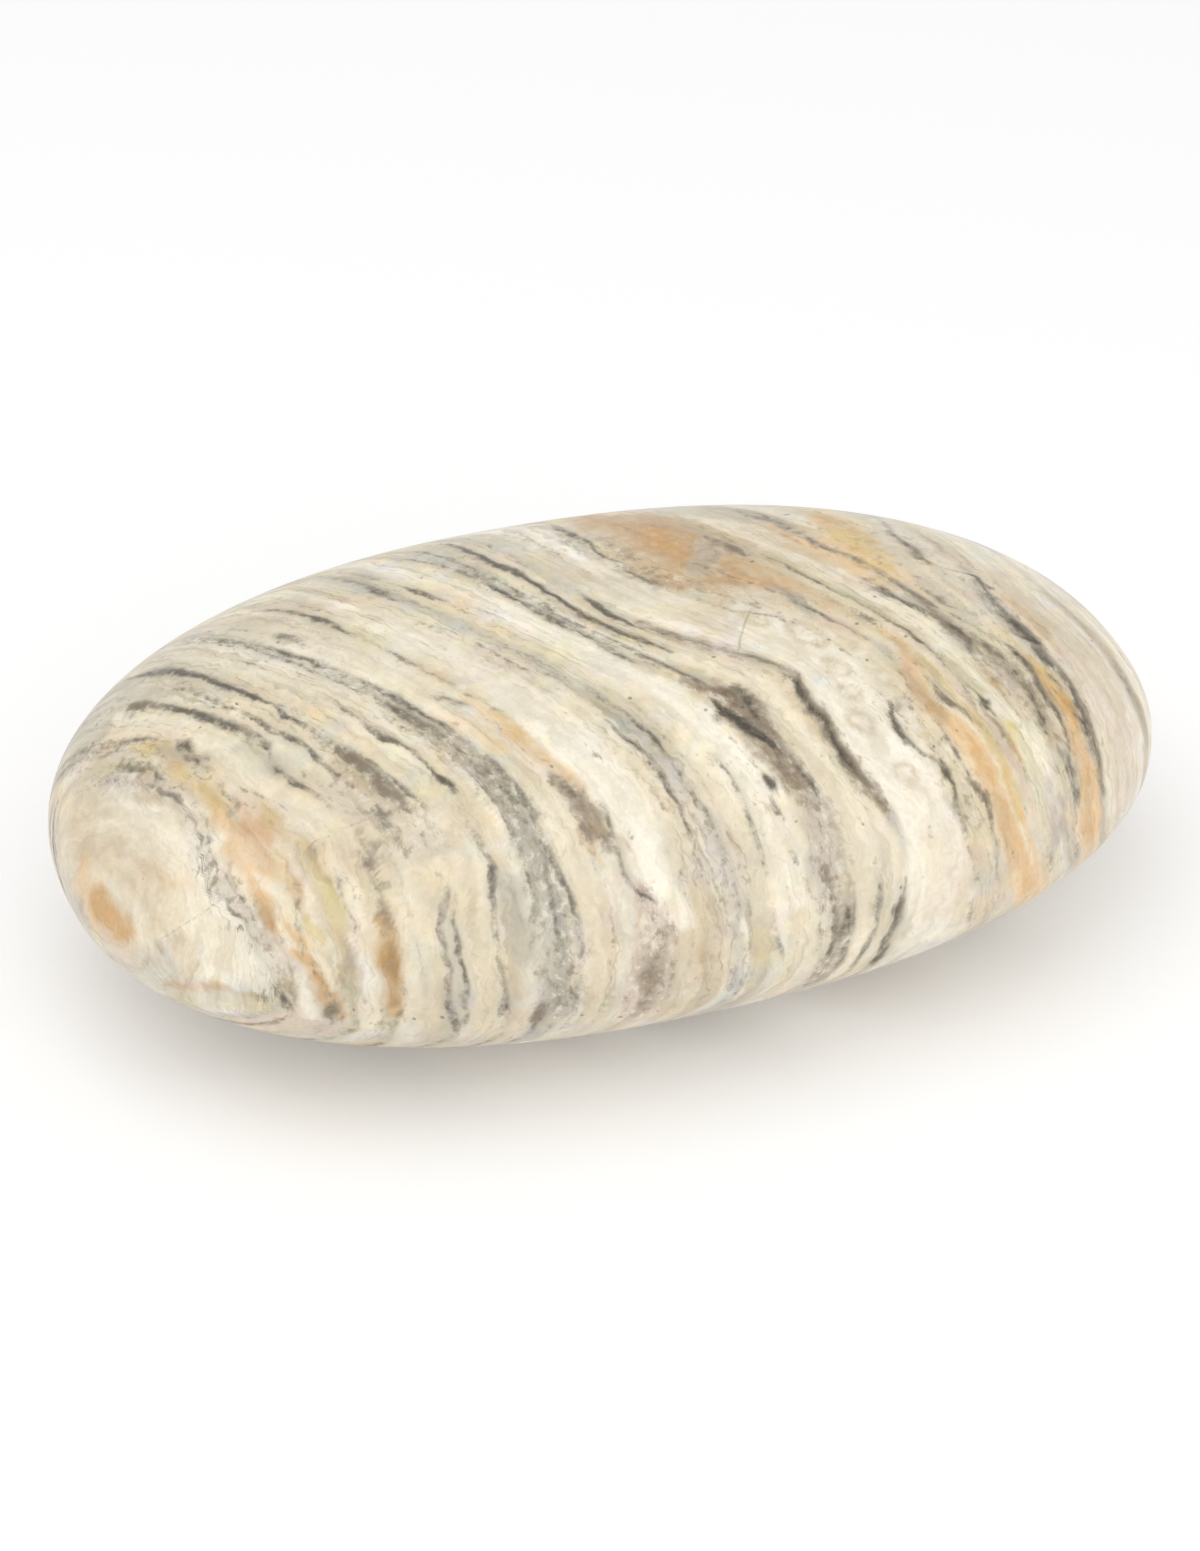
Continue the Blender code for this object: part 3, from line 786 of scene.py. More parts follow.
stain(HONEY, .5, (31, 7.5, .2), (36, 7.4, .3), (40, 7.1, .25))
stain(SEDGE, .7, *spot(40.5, 8.7, 4, .45))
stain(ROSE, .7, (33, 8, .1), (38, 7.8, .16), (43, 7.55, .18), (48, 7.4, .12))
stain(CREAM, .7, (35, 9.7, .25), (42, 9.5, .3), (50, 9.6, .2))
stain(APRICOT, .55, (25, 18.6, .4), (30, 18.1, .7), (35, 17.8, .7), (40, 17.4, .4))
stain(BUFF, .5, (28, 18.2, .3), (32, 18, .5), (37, 17.7, .4))
stain(SLATE, .4, (17, 18.8, .3), (22, 17.4, .5), (28, 16.4, .6), (36, 16, .6), (42, 15.8, .4))

# The lower right part, down over the front.
stain(BUFF, .7, (38, 5.4, .3), (42, 5, .6), (46, 5.2, .75), (50, 5.4, .7), (54, 5.6, .5))
stain(OCHRE, .4, *spot(45, 5.2, 3, .5))
stain(APRICOT, .9, (48, 5.9, .6), (52, 5.9, .9), (58, 5.9, .8), (66, 6, .8), (76, 6.3, .9), (84, 6.9, 1),
      (92, 7.8, 1), (100, 9, 1.1), (110, 10.6, 1))
stain(AMBER, .5, *spot(57, 5.8, 4, .55))
stain(AMBER, .35, (66, 5.8, .25), (76, 6.1, .4), (88, 7.2, .5), (96, 8.3, .5))
stain(BUFF, .4, (60, 5.4, .25), (72, 5.6, .3), (84, 6.2, .35))
stain(CREAM, .7, (43, 5.8, .1), (46, 6.15, .14), (50, 6.7, .14), (55, 6.9, .12), (62, 6.45, .12),
      (70, 6.5, .12), (78, 6.9, .12), (86, 7.7, .1))
stain(STRAW, .45, *spot(43, 6.9, 2, .3))
stain(HONEY, .75, (47, 7.1, .2), (52, 7.2, .3), (58, 7.1, .35), (65, 7, .4), (71, 7, .3))
stain(SEDGE, .5, *spot(56, 7.3, 2, .25))
stain(ROSE, .8, (50, 7.9, .14), (56, 7.8, .22), (64, 7.8, .24), (72, 7.9, .15))
stain(EARTH, .5, (49, 8.1, .1), (53, 8.25, .14), (57, 8.35, .14), (59, 8.4, .1))
stain(SALMON, .5, *spot(57.5, 8.4, 1.5, .3))
stain(STRAW, .85, *spot(53.5, 8.95, 3, .45))
stain(CREAM, .7, (56, 9.4, .6), (66, 9.5, .9), (76, 9.2, .5))
stain(SEDGE, .3, (58, 9.2, .3), (68, 9, .4), (75, 8.8, .3))
stain(LILAC, .75, (68, 9.8, .3), (74, 9.5, .5), (82, 9.9, .4))
stain(SLATE, .35, (80, 10.3, .4), (90, 11, .5), (98, 12.2, .5))
stain(OLIVE, .55, (36, 12.2, .5), (42, 12.2, .8), (48, 12, .8), (54, 11.5, .6), (57, 11.2, .3))
stain(LILAC, .5, *spot(43, 11.3, 4, .35))
stain(OCHRE, .5, *spot(42.5, 10.3, 1.2, .35))
stain(CREAM, .7, (39, 13.2, .12), (44, 13, .16), (48, 13.05, .15), (53, 12.4, .12))
stain(TAUPE, .4, (53, 11.9, .3), (57, 11.9, .5), (61, 11.7, .3))
stain(SLATE, .55, (29, 16.4, .3), (32, 16.2, .5), (36, 16, .5), (41, 15.8, .4), (44, 15.6, .3))
stain(HONEY, .6, (37, 14.4, .3), (41, 14.5, .4), (44, 14.4, .6))
stain(HONEY, .85, (42, 14.2, .5), (46, 14.2, .85), (51, 14.2, .9), (56, 14, .75), (60, 13.6, .4))
stain(AMBER, .5, (44, 13.8, .3), (50, 14, .5), (56, 13.8, .5))
stain(AMBER, .8, *spot(54, 14.2, 2.6, .75))
stain(EARTH, .6, (51, 15.4, .3), (47, 15.7, .15))
stain(TAUPE, .8, (56.5, 14.6, .3), (61, 14.5, .5), (67, 14.5, .4), (74, 14.3, .35), (78, 14.5, .2))
stain(APRICOT, .9, (57, 13.4, .4), (62, 13.3, .6), (70, 13.3, .65), (76, 12.9, .9), (82, 12.9, 1.2),
      (90, 13.4, .9))
stain(APRICOT, .5, (90, 13.4, .9), (102, 14.8, .9))
stain(AMBER, .35, (59, 13.4, .3), (66, 13.4, .4), (74, 13.2, .3), (80, 12.6, .6), (90, 13.1, .6))
stain(SLATE, .7, (64, 11.7, .3), (67, 11.8, .4), (72, 11.7, .4), (76, 11.6, .25))
stain(CREAM, .6, (66, 15.6, .5), (74, 15.4, .7), (84, 15.8, .8))
stain(ROSE, .45, (40, 17.8, .8), (55, 17.6, 1.4), (70, 17.2, 1.5), (88, 17.4, 1.2))
stain(SAND, .5, (20, 20, 1.2), (34, 19.6, 1), (50, 19.6, 1), (60, 19.2, 1.2))
stain(TAN, .55, (28, 22.8, .4), (40, 22.6, .6), (50, 22.2, .6), (60, 21.7, .7), (72, 21.5, .7),
      (86, 20.8, .6))
stain(TAUPE, .45, (52, 21.6, .3), (60, 21.6, .5), (68, 21.6, .5), (76, 21.3, .4))

# ---------------------------------------------------------------------------------------------
# The threads. Where growth paused, mud and manganese left fine dark partings between the
# sheets, some as thin as a hair and broken, some a clear dark line.

# Each is followed around the stone by points of (lap, place, half width, strength), and they
# are shared out over three combs, so that two in one comb never lie close together.

THREADS = (
    ((-60, -28, .15, .2), (-45, -27.9, .15, .3), (-33, -27.8, .14, .4), (-20, -28, .14, .4),
     (-14, -27.8, .16, .6), (-9, -28.15, .16, .7), (-4, -28.2, .18, .8), (0, -28.4, .14, .5),
     (5, -28.9, .12, .45), (10, -29.2, .12, .45), (14, -29.5, .14, .6), (17, -29.8, .12, .5),
     (24, -30.45, .14, .4), (28, -30.6, .12, .3), (33, -30.8, .13, .4), (38, -30.95, .14, .5),
     (43, -31, .1, .3), (50, -30.8, .12, .4), (57, -31, .12, .35), (63, -30.7, .12, .45),
     (70, -30.6, .13, .4), (80, -30.5, .12, .3), (98, -30.6, .15, .5), (101, -30.6, .18, .8),
     (112, -30.2, .15, .3)),
    ((-60, -27.3, .2, .25), (-30, -27.2, .2, .5), (-22, -27.1, .15, .6), (-18, -26.9, .15, .6),
     (-15, -27.4, .15, .6), (-8, -27.7, .12, .3), (0, -28, .12, .4), (5, -28.45, .12, .5),
     (10, -28.8, .12, .45), (15, -29.3, .12, .4), (20, -29.8, .12, .4), (30, -30.3, .12, .35),
     (50, -30.4, .12, .5), (60, -30.4, .12, .35), (112, -29.9, .12, .2)),
    ((-60, -26.9, .2, .3), (-20, -26.7, .15, .2), (0, -27.5, .1, .1), (20, -29.2, .1, .1),
     (45, -30.15, .12, .4), (50, -30.1, .12, .6), (57, -30.2, .12, .5), (70, -30, .1, .3),
     (86, -30.15, .12, .5), (92, -30.2, .14, .8), (100, -29.95, .14, .8), (106, -29.65, .16, .8),
     (110, -29.4, .14, .4)),
    ((-60, -26.6, .15, .25), (-20, -26.3, .12, .1), (0, -27.2, .1, .1), (20, -27.9, .1, .1),
     (35, -28.5, .1, .3), (43, -28.7, .12, .6), (52, -29.1, .12, .5), (58, -29.4, .12, .45),
     (65, -29.6, .12, .45), (73, -29.4, .12, .45), (82, -29.1, .12, .4), (90, -28.8, .12, .4),
     (97, -28.5, .14, .5), (101, -28.4, .2, .9), (106, -28.35, .2, .85), (112, -28.1, .14, .4)),
    ((-60, -26.2, .2, .4), (-40, -26.2, .15, .3), (-20, -25.9, .1, .1), (10, -27.3, .14, .4),
     (15, -27.1, .12, .35), (35, -27.9, .1, .2), (50, -28.4, .1, .15), (70, -28.1, .12, .35),
     (82, -28.2, .12, .3), (95, -28.1, .12, .35), (108, -27.8, .12, .4), (114, -27.4, .1, .2)),
    ((-60, -25.9, .2, .5), (-50, -26, .2, .6), (-44, -25.7, .15, .3), (-20, -25.6, .1, .1),
     (10, -26.5, .14, .5), (16, -26.4, .12, .2), (30, -26.6, .1, .2), (50, -27.5, .12, .35),
     (62, -27.6, .12, .4), (72, -27.9, .12, .4), (85, -27.75, .12, .35), (95, -27.5, .12, .35),
     (110, -27.2, .12, .3)),
    ((-60, -25.5, .2, .5), (-50, -25.4, .2, .55), (-43, -25.2, .15, .4), (-37, -25.55, .15, .7),
     (-32, -25.35, .16, .85), (-26, -25.25, .12, .6), (-20, -25.3, .1, .25), (0, -25.6, .1, .1),
     (22, -26.1, .1, .1), (40, -26.9, .1, .1), (60, -27, .1, .2), (80, -27.1, .12, .3),
     (95, -26.8, .12, .35), (105, -26.5, .12, .35)),
    ((-60, -22.4, .2, .3), (-45, -22.6, .2, .35), (-42, -22.8, .3, .7), (-38, -22.8, .35, .9),
     (-34, -22.85, .22, .6), (-30, -22.9, .2, .7), (-25, -22.95, .2, .8), (-20, -23.1, .26, .9),
     (-15, -23.3, .3, .9), (-8, -23.4, .28, .8), (-3, -23.5, .22, .65), (1, -23.7, .2, .85),
     (3, -24, .15, .6), (6, -24.6, .16, .6), (9, -24.85, .18, .85), (12, -24.95, .16, .7),
     (16, -25.1, .16, .85), (19, -24.95, .12, .5), (28, -25.1, .12, .45), (34, -25.1, .14, .45),
     (38, -25.5, .16, .5), (41, -25.75, .2, .8), (45, -25.95, .12, .3), (50, -26.2, .14, .4),
     (56, -26.5, .12, .25), (70, -26.2, .12, .25), (90, -26.1, .12, .25), (103, -26.1, .16, .5),
     (112, -25.8, .16, .5)),
    ((-60, -20.8, .2, .3), (-40, -21.2, .16, .4), (-30, -21.4, .16, .6), (-25, -21.7, .16, .6),
     (-19, -21.95, .18, .8), (-14, -22.2, .15, .6), (-9, -22.4, .16, .65), (-2, -22.8, .2, .85),
     (3, -22.75, .2, .75), (8, -23, .14, .65), (12, -23.3, .14, .7), (17, -23.4, .12, .5),
     (27, -23.6, .14, .5), (30, -23.75, .2, .75), (36, -24, .15, .5), (43, -24.1, .1, .3),
     (50, -23.5, .12, .5), (54, -23.65, .16, .75), (60, -24.2, .13, .85), (65, -24.6, .14, .95),
     (75, -24.6, .14, .9), (85, -24.5, .14, .9), (92, -24.3, .14, .85), (100, -24, .15, .85),
     (105, -23.6, .2, .85), (110, -23.2, .18, .8), (116, -22.9, .15, .5)),
    ((-60, -20.4, .12, .2), (-25, -21, .12, .35), (-9, -21.15, .12, .5), (-5, -21.5, .15, .75),
     (-3, -21.7, .18, .9), (2, -21.8, .14, .55), (7, -21.9, .14, .5), (13, -22.1, .3, .7),
     (16, -22.15, .35, .95), (20, -22.3, .3, .7), (27, -22.65, .3, .8), (30, -22.6, .2, .7),
     (35, -22.8, .14, .45), (42, -23.2, .12, .3), (52, -23, .1, .2), (58, -23.6, .12, .5),
     (63, -24.05, .1, .75), (75, -24.1, .12, .75), (85, -23.9, .12, .75), (90, -23.8, .13, .85),
     (97, -23.6, .13, .85), (105, -23.15, .13, .8), (110, -22.85, .1, .5)),
    ((-60, -19.3, .25, .4), (-52, -19.6, .25, .7), (-45, -19.8, .3, .85), (-38, -19.95, .35, .95),
     (-31, -20.2, .25, .9), (-27, -20.45, .18, .75), (-22, -20.7, .2, .9), (-17, -20.9, .2, .85),
     (-13, -21.1, .18, .85), (-10, -21.1, .12, .4), (-4, -20.95, .14, .6), (2, -21.1, .1, .35),
     (8, -21.4, .1, .3), (15, -21.6, .1, .35), (20, -21.85, .12, .55), (28, -21.95, .15, .7),
     (34, -21.95, .12, .45), (38, -22.2, .12, .4), (48, -22.4, .1, .15), (60, -23, .1, .1),
     (80, -23, .1, .2), (95, -22.7, .15, .35), (110, -22.1, .12, .3)),
    ((-60, -17.9, .12, .2), (-30, -18.4, .1, .3), (-22, -18.6, .1, .4), (-15, -18.9, .1, .45),
     (-8, -19.1, .1, .4), (-2, -19.5, .1, .4), (3, -19.8, .12, .55), (10, -20.1, .14, .65),
     (14, -20.2, .2, .85), (17, -20, .12, .6), (22, -20, .1, .45), (26, -20.3, .14, .65),
     (28, -20.25, .26, .95), (31, -20.4, .14, .65), (35, -20.6, .12, .5), (40, -21, .14, .65),
     (46, -21.15, .14, .6), (50, -21.35, .2, .95), (54, -21.65, .18, .85), (58, -22, .15, .7),
     (64, -22.3, .16, .75), (70, -22.4, .16, .75), (76, -22.4, .15, .65), (82, -22.3, .15, .6),
     (88, -22.1, .18, .7), (93, -22, .22, .85), (99, -21.8, .26, .95), (103, -21.6, .2, .8),
     (108, -21.3, .16, .7), (114, -20.9, .14, .4)),
    ((-60, -17.2, .12, .2), (-12, -18.45, .1, .15), (5, -18.9, .1, .2), (13, -18.95, .2, .55),
     (22, -18.8, .15, .5), (30, -18.95, .15, .55), (38, -19.25, .15, .55), (46, -19.7, .15, .5),
     (55, -20.1, .15, .5), (62, -20.35, .2, .6), (70, -20.9, .15, .4), (80, -21, .15, .4),
     (88, -20.6, .15, .5), (97, -20.2, .18, .65), (103, -20, .28, .95), (108, -19.75, .2, .7),
     (114, -19.4, .14, .35)),
    ((-60, -16.4, .2, .3), (-28, -17.2, .15, .5), (-20, -17.6, .15, .45), (-12, -17.85, .15, .55),
     (-6, -18, .15, .5), (3, -18.1, .15, .5), (12, -18.3, .25, .65), (20, -18.3, .2, .6),
     (30, -18.3, .2, .5), (42, -18.6, .2, .5), (50, -19, .18, .5), (60, -19.6, .15, .55),
     (70, -19.7, .15, .65), (80, -19.7, .15, .65), (90, -19.6, .16, .6), (98, -19.3, .18, .65),
     (106, -18.9, .14, .4)),
    ((-60, -15.6, .2, .3), (-40, -16.6, .2, .45), (-30, -16.9, .2, .55), (-22, -17.05, .16, .55),
     (-14, -17.2, .16, .65), (-8, -17.3, .15, .55), (-3, -17.4, .16, .6), (3, -17.45, .22, .9),
     (8, -17.6, .18, .6), (14, -17.6, .15, .5), (22, -17.6, .15, .55), (30, -17.7, .2, .65),
     (36, -17.9, .2, .7), (42, -18.2, .2, .7), (46, -18.5, .18, .65), (52, -18.7, .18, .75),
     (58, -18.65, .16, .75), (64, -18.7, .18, .85), (72, -18.7, .15, .65), (82, -18.75, .16, .75),
     (90, -18.8, .14, .6), (95, -18.7, .2, .85), (101, -18.5, .18, .75), (108, -18.1, .14, .35)),
    ((-55, -14.6, .15, .3), (-45, -15.3, .15, .4), (-35, -15.5, .15, .4), (-26, -15.7, .2, .6),
     (-22, -15.75, .25, .85), (-17, -16, .15, .35), (-8, -16.2, .1, .2), (0, -16.5, .1, .15),
     (8, -16.3, .12, .25), (13, -15.9, .28, .75), (16, -15.6, .14, .3), (30, -15.9, .1, .1),
     (40, -16.3, .12, .35), (49, -16.5, .14, .5), (55, -16.85, .12, .45), (62, -16.95, .12, .45),
     (72, -17.1, .12, .45), (82, -17.2, .1, .4), (90, -17.2, .12, .5), (97, -17, .14, .55),
     (106, -16.6, .12, .25)),
    ((-50, -12.4, .15, .3), (-42, -12.9, .15, .35), (-30, -13.1, .15, .65), (-26, -13.4, .16, .65),
     (-23, -13.5, .3, .9), (-19, -13.7, .2, .75), (-16, -14, .14, .65), (-14, -14.3, .14, .55),
     (-8, -14.3, .12, .3), (-4, -14.5, .14, .5), (0, -14.8, .14, .55), (5, -14.9, .12, .45),
     (12, -15, .14, .55), (15, -14.9, .12, .4), (22, -14.8, .1, .15), (30, -14.6, .1, .1),
     (40, -14.6, .1, .3), (46, -15.1, .12, .45), (52, -15.6, .14, .55), (58, -15.8, .14, .6),
     (62, -15.85, .14, .6), (65, -15.5, .18, .85), (67, -15.1, .14, .75), (70, -14.6, .12, .45),
     (74, -14.25, .15, .65), (78, -14.1, .18, .8), (85, -14, .12, .4), (95, -13.9, .14, .5),
     (103, -13.6, .16, .55), (112, -13.2, .12, .3)),
    ((-50, -11.2, .15, .3), (-32, -12.2, .12, .35), (-16, -13, .12, .3), (0, -12.8, .1, .15),
     (15, -12.3, .1, .2), (30, -12.3, .12, .35), (38, -12.2, .12, .45), (43, -12.1, .14, .55),
     (50, -12.3, .12, .4), (58, -12.8, .12, .5), (64, -13.15, .14, .6), (68, -13.2, .12, .45),
     (80, -12.9, .12, .35), (92, -12.6, .12, .3), (110, -11.6, .12, .25)),
    ((-48, -10.2, .15, .3), (-30, -11, .12, .3), (-14, -11.6, .1, .2), (-8, -11.5, .14, .4),
     (-4, -11.2, .12, .35), (2, -11.15, .12, .35), (6, -11.4, .12, .4), (10, -11.5, .14, .6),
     (13, -11.35, .14, .5), (20, -11.3, .1, .25), (28, -11.2, .12, .4), (33, -11.2, .16, .65),
     (40, -11.2, .14, .55), (44, -11.4, .16, .75), (49, -11.6, .14, .65), (55, -11.9, .14, .65),
     (60, -12.1, .12, .55), (64, -12.2, .14, .55), (72, -12, .1, .25), (86, -12, .14, .4),
     (100, -11.2, .12, .25)),
    ((-45, -7.4, .2, .3), (-35, -8.2, .2, .45), (-30, -8.7, .2, .5), (-24, -9.3, .25, .65),
     (-21, -9.65, .3, .95), (-18, -10, .2, .65), (-14, -10.1, .15, .35), (-8, -9.9, .15, .35),
     (0, -10.2, .15, .35), (8, -10.45, .15, .4), (15, -10.2, .12, .35), (22, -10.1, .15, .5),
     (28, -10, .18, .55), (32, -9.95, .2, .65), (38, -10.2, .18, .5), (46, -10.45, .15, .45),
     (55, -10.7, .15, .45), (65, -10.9, .15, .35), (75, -10.8, .12, .3), (82, -10.8, .14, .45),
     (90, -10.6, .16, .55), (97, -10.4, .16, .6), (103, -10.1, .18, .65), (110, -9.7, .15, .35)),
    ((-42, -6.6, .2, .3), (-28, -8, .15, .45), (-22, -8.4, .15, .45), (-14.5, -8.7, .2, .8),
     (-8, -9, .14, .35), (0, -9.3, .12, .3), (10, -9.5, .12, .3), (30, -9.4, .1, .15), (45, -9.7, .12, .35),
     (55, -10, .12, .3), (70, -10.2, .12, .3), (82, -10.2, .14, .4), (86, -10.1, .18, .75),
     (92, -9.95, .16, .7), (98, -9.8, .16, .7), (104, -9.5, .14, .55), (111, -9.1, .12, .25)),
    ((-40, -5.4, .15, .2), (-20, -7, .12, .2), (0, -8, .1, .1), (35, -8.3, .1, .15), (44, -8.1, .12, .45),
     (50, -8.45, .14, .55), (54, -8.65, .16, .65), (58, -8.75, .14, .6), (64, -8.9, .14, .65),
     (70, -8.95, .12, .5), (78, -8.85, .12, .4), (86, -8.8, .16, .8), (88, -8.6, .14, .7),
     (90, -8.35, .18, .85), (93, -8.1, .14, .6), (98, -7.8, .1, .2)),
    ((-40, -3.8, .15, .3), (-28, -4.7, .12, .45), (-22, -5.05, .14, .55), (-17, -5.35, .18, .65),
     (-13, -5.65, .18, .6), (-9, -5.95, .18, .8), (-5, -6.35, .16, .7), (-1, -6.55, .14, .6),
     (4, -6.85, .25, .65), (8, -6.65, .16, .55), (13, -6.85, .22, .65), (17, -6.8, .2, .65),
     (20, -6.6, .1, .25), (28, -6.5, .1, .15), (35, -6.5, .12, .35), (43, -6.65, .1, .25),
     (48, -6.55, .24, .9), (51, -6.8, .12, .35), (54, -7.05, .2, .7), (58, -7.2, .1, .25),
     (64, -7.4, .14, .6), (67, -7.2, .12, .45), (72, -6.9, .12, .5), (78, -6.6, .12, .55),
     (84, -6.3, .12, .5), (90, -6.1, .14, .6), (95, -5.9, .12, .5), (103, -5.5, .1, .25)),
    ((-40, -3.1, .1, .2), (-26, -4.1, .1, .3), (-17, -4.95, .1, .25), (-10, -5.5, .1, .3),
     (-2, -6.15, .1, .3), (4, -6.45, .1, .3), (14, -6.35, .12, .4), (20, -6.05, .1, .3), (30, -5.9, .1, .1),
     (60, -6.2, .1, .1), (68, -6, .2, .35), (73, -5.75, .25, .6), (78, -5.6, .16, .4), (84, -5.35, .16, .7),
     (90, -5.25, .22, .85), (95, -5.25, .2, .85), (100, -5.3, .2, .7), (105, -5.1, .22, .65),
     (111, -4.8, .2, .35)),
    ((-38, -2.4, .12, .3), (-26, -3.7, .14, .55), (-20, -4.3, .12, .5), (-15, -4.8, .16, .6),
     (-11, -5.05, .14, .5), (-7, -5.5, .14, .55), (-4, -5.8, .12, .4), (1, -6.1, .12, .35),
     (8, -6.2, .14, .5), (12, -6.1, .14, .55), (16, -5.95, .16, .7), (19, -5.75, .18, .8),
     (22, -5.5, .18, .8), (25, -5.2, .16, .65), (29, -5.1, .12, .4), (34, -4.9, .12, .2),
     (40, -4.9, .2, .65), (45, -4.6, .16, .6), (50, -4.6, .22, .85), (54, -4.5, .14, .4),
     (60, -4.2, .12, .3), (66, -4.15, .12, .4), (74, -4.3, .12, .35), (82, -4.3, .16, .55),
     (87, -4.6, .24, .85), (92, -4.55, .2, .75), (98, -4.4, .18, .75), (103, -4.2, .15, .55),
     (109, -3.9, .12, .25)),
    ((-38, -.6, .15, .35), (-33, -1.1, .18, .6), (-28, -1.8, .18, .8), (-24, -2.4, .18, .85),
     (-20, -2.95, .22, .95), (-16, -3.45, .28, 1), (-12, -3.65, .26, .95), (-7, -4.2, .18, .9),
     (-2, -4.75, .18, .9), (2, -5.15, .18, .85), (6, -5.35, .24, .95), (10, -5.2, .2, .9),
     (14, -4.9, .22, .85), (17, -4.55, .2, .8), (19.5, -4.3, .12, .35), (25, -4, .1, .1),
     (29, -3.8, .12, .3), (36, -3.2, .1, .1), (60, -3.2, .1, .1), (70, -3, .12, .3), (78, -2.8, .16, .7),
     (84, -2.85, .22, 1), (90, -2.85, .2, .85), (97, -3, .22, .95), (103, -2.85, .24, .95),
     (109, -2.5, .16, .45)),
    ((-36, .6, .15, .3), (-25, -.9, .12, .3), (-14, -2.5, .15, .4), (-8, -3.1, .15, .35),
     (-2, -3.3, .12, .35), (1, -3.7, .18, .65), (4, -4, .25, .95), (8, -4.25, .22, .85),
     (11, -4.1, .15, .5), (14, -3.4, .25, .55), (18, -2.9, .25, .5), (21, -2.4, .2, .5),
     (24, -1.2, .2, .65), (27, -.6, .2, .55), (30, -.1, .18, .6), (32, -.8, .22, .85), (35, -1.2, .3, 1),
     (39, -1.15, .26, .9), (42, -1.5, .22, .8), (45, -1.8, .25, .85), (49, -1.95, .32, .95),
     (52, -1.65, .28, .8), (56, -1.4, .2, .55), (61, -1.15, .24, .75), (66, -1, .12, .35),
     (74, -1.1, .12, .45), (80, -1.3, .14, .6), (86, -1.6, .28, 1.05), (91, -1.5, .28, .95),
     (96, -1.8, .26, .9), (101, -1.6, .24, .9), (105, -1.3, .28, 1), (110, -1, .15, .45)),
    ((-36, 2.4, .15, .3), (-20, .6, .12, .3), (-8, -1, .12, .2), (10, -1.2, .1, .1), (22, .6, .1, .15),
     (30, 1.3, .12, .15), (45, 1, .1, .05), (78, .7, .2, .3), (90, .9, .1, .05), (100, 1.2, .14, .35),
     (107, 2, .14, .3)),
    ((-34, 5.4, .2, .4), (-25, 3.9, .22, .6), (-20, 3.1, .22, .75), (-15, 2.4, .2, .75),
     (-12, 1.6, .18, .65), (-8, 1, .2, .65), (-5, 1.2, .14, .45), (-3, .3, .2, .6), (1, .4, .22, .75),
     (6, .3, .1, .3), (14, 1.2, .2, .55), (18, 2.9, .16, .55), (20, 3.2, .12, .35), (26, 3.6, .14, .45),
     (31, 3.9, .16, .5), (37, 3.1, .1, .2), (41, 2.8, .15, .55), (44, 2.2, .18, .75), (47, 2.05, .18, .7),
     (50, 2.3, .15, .5), (56, 3.2, .3, .85), (59, 3.3, .2, .6), (63, 2.9, .18, .6), (68, 2.9, .16, .6),
     (73, 2.95, .14, .55), (78, 3.2, .16, .65), (84, 3.6, .14, .5), (88, 3.75, .1, .35),
     (92, 3.55, .16, .7), (97, 3.9, .2, .85), (102, 4.5, .15, .5), (107, 5.1, .12, .25)),
    ((-34, 8, .15, .3), (-20, 6.2, .12, .3), (-8, 4.6, .12, .25), (2, 4, .14, .35), (14, 4.9, .14, .45),
     (20, 5.2, .16, .5), (28, 5.8, .16, .5), (32, 5.6, .14, .45), (38, 5, .12, .25), (44, 4.5, .14, .4),
     (52, 4.5, .16, .5), (57, 4.55, .16, .55), (62, 4.65, .18, .65), (65, 4.95, .2, .75),
     (69, 4.9, .16, .6), (74, 4.8, .12, .35), (79, 5, .16, .6), (83, 4.85, .1, .3), (88, 5.2, .14, .45),
     (96, 5.8, .16, .55), (101, 6.2, .18, .65), (106, 6.9, .12, .35)),
    ((-33, 9.8, .15, .25), (-14, 7.4, .12, .25), (-4, 7.6, .2, .6), (-1, 7.3, .28, .9), (3, 6.9, .12, .3),
     (14, 6.7, .1, .2), (24, 7.2, .22, .55), (28, 7.1, .1, .2), (36, 6.6, .1, .25), (41, 6.2, .2, .7),
     (45, 6.35, .2, .75), (48, 6.9, .14, .5), (54, 7.5, .12, .45), (60, 7.5, .12, .4), (68, 7.6, .1, .35),
     (78, 7.2, .1, .35), (88, 8, .1, .3), (98, 9, .1, .3)),
    ((-31, 11.6, .15, .25), (-15, 8.6, .1, .25), (-8, 8.2, .12, .35), (-2, 8.15, .12, .5),
     (3, 7.95, .14, .6), (8, 7.85, .14, .6), (13, 7.9, .14, .6), (18, 8.1, .12, .55), (23, 8.2, .12, .55),
     (28, 8.5, .14, .6), (34, 8.4, .12, .55), (40, 8.2, .12, .45), (44, 7.9, .14, .5), (49, 8, .12, .5),
     (54, 8.2, .12, .5), (58, 8.4, .14, .55), (63, 8.3, .1, .2), (72, 8.5, .1, .15), (80, 9, .12, .35),
     (88, 9.4, .22, .6), (94, 9.9, .14, .45), (100, 10.6, .12, .3)),
    ((-28, 13.6, .15, .25), (-14, 11, .12, .3), (0, 10, .1, .15), (12, 10, .1, .15), (18, 10.5, .2, .6),
     (22, 10.9, .25, .85), (26, 11.3, .22, .8), (30, 11.5, .3, .9), (34, 11.15, .25, .85),
     (38, 10.6, .14, .4), (43, 10.4, .1, .25), (48, 10, .12, .35), (58, 10, .1, .15), (66, 9.7, .14, .35),
     (72, 9.6, .2, .5), (80, 10, .2, .6), (86, 10.4, .18, .55), (94, 11.2, .14, .3)),
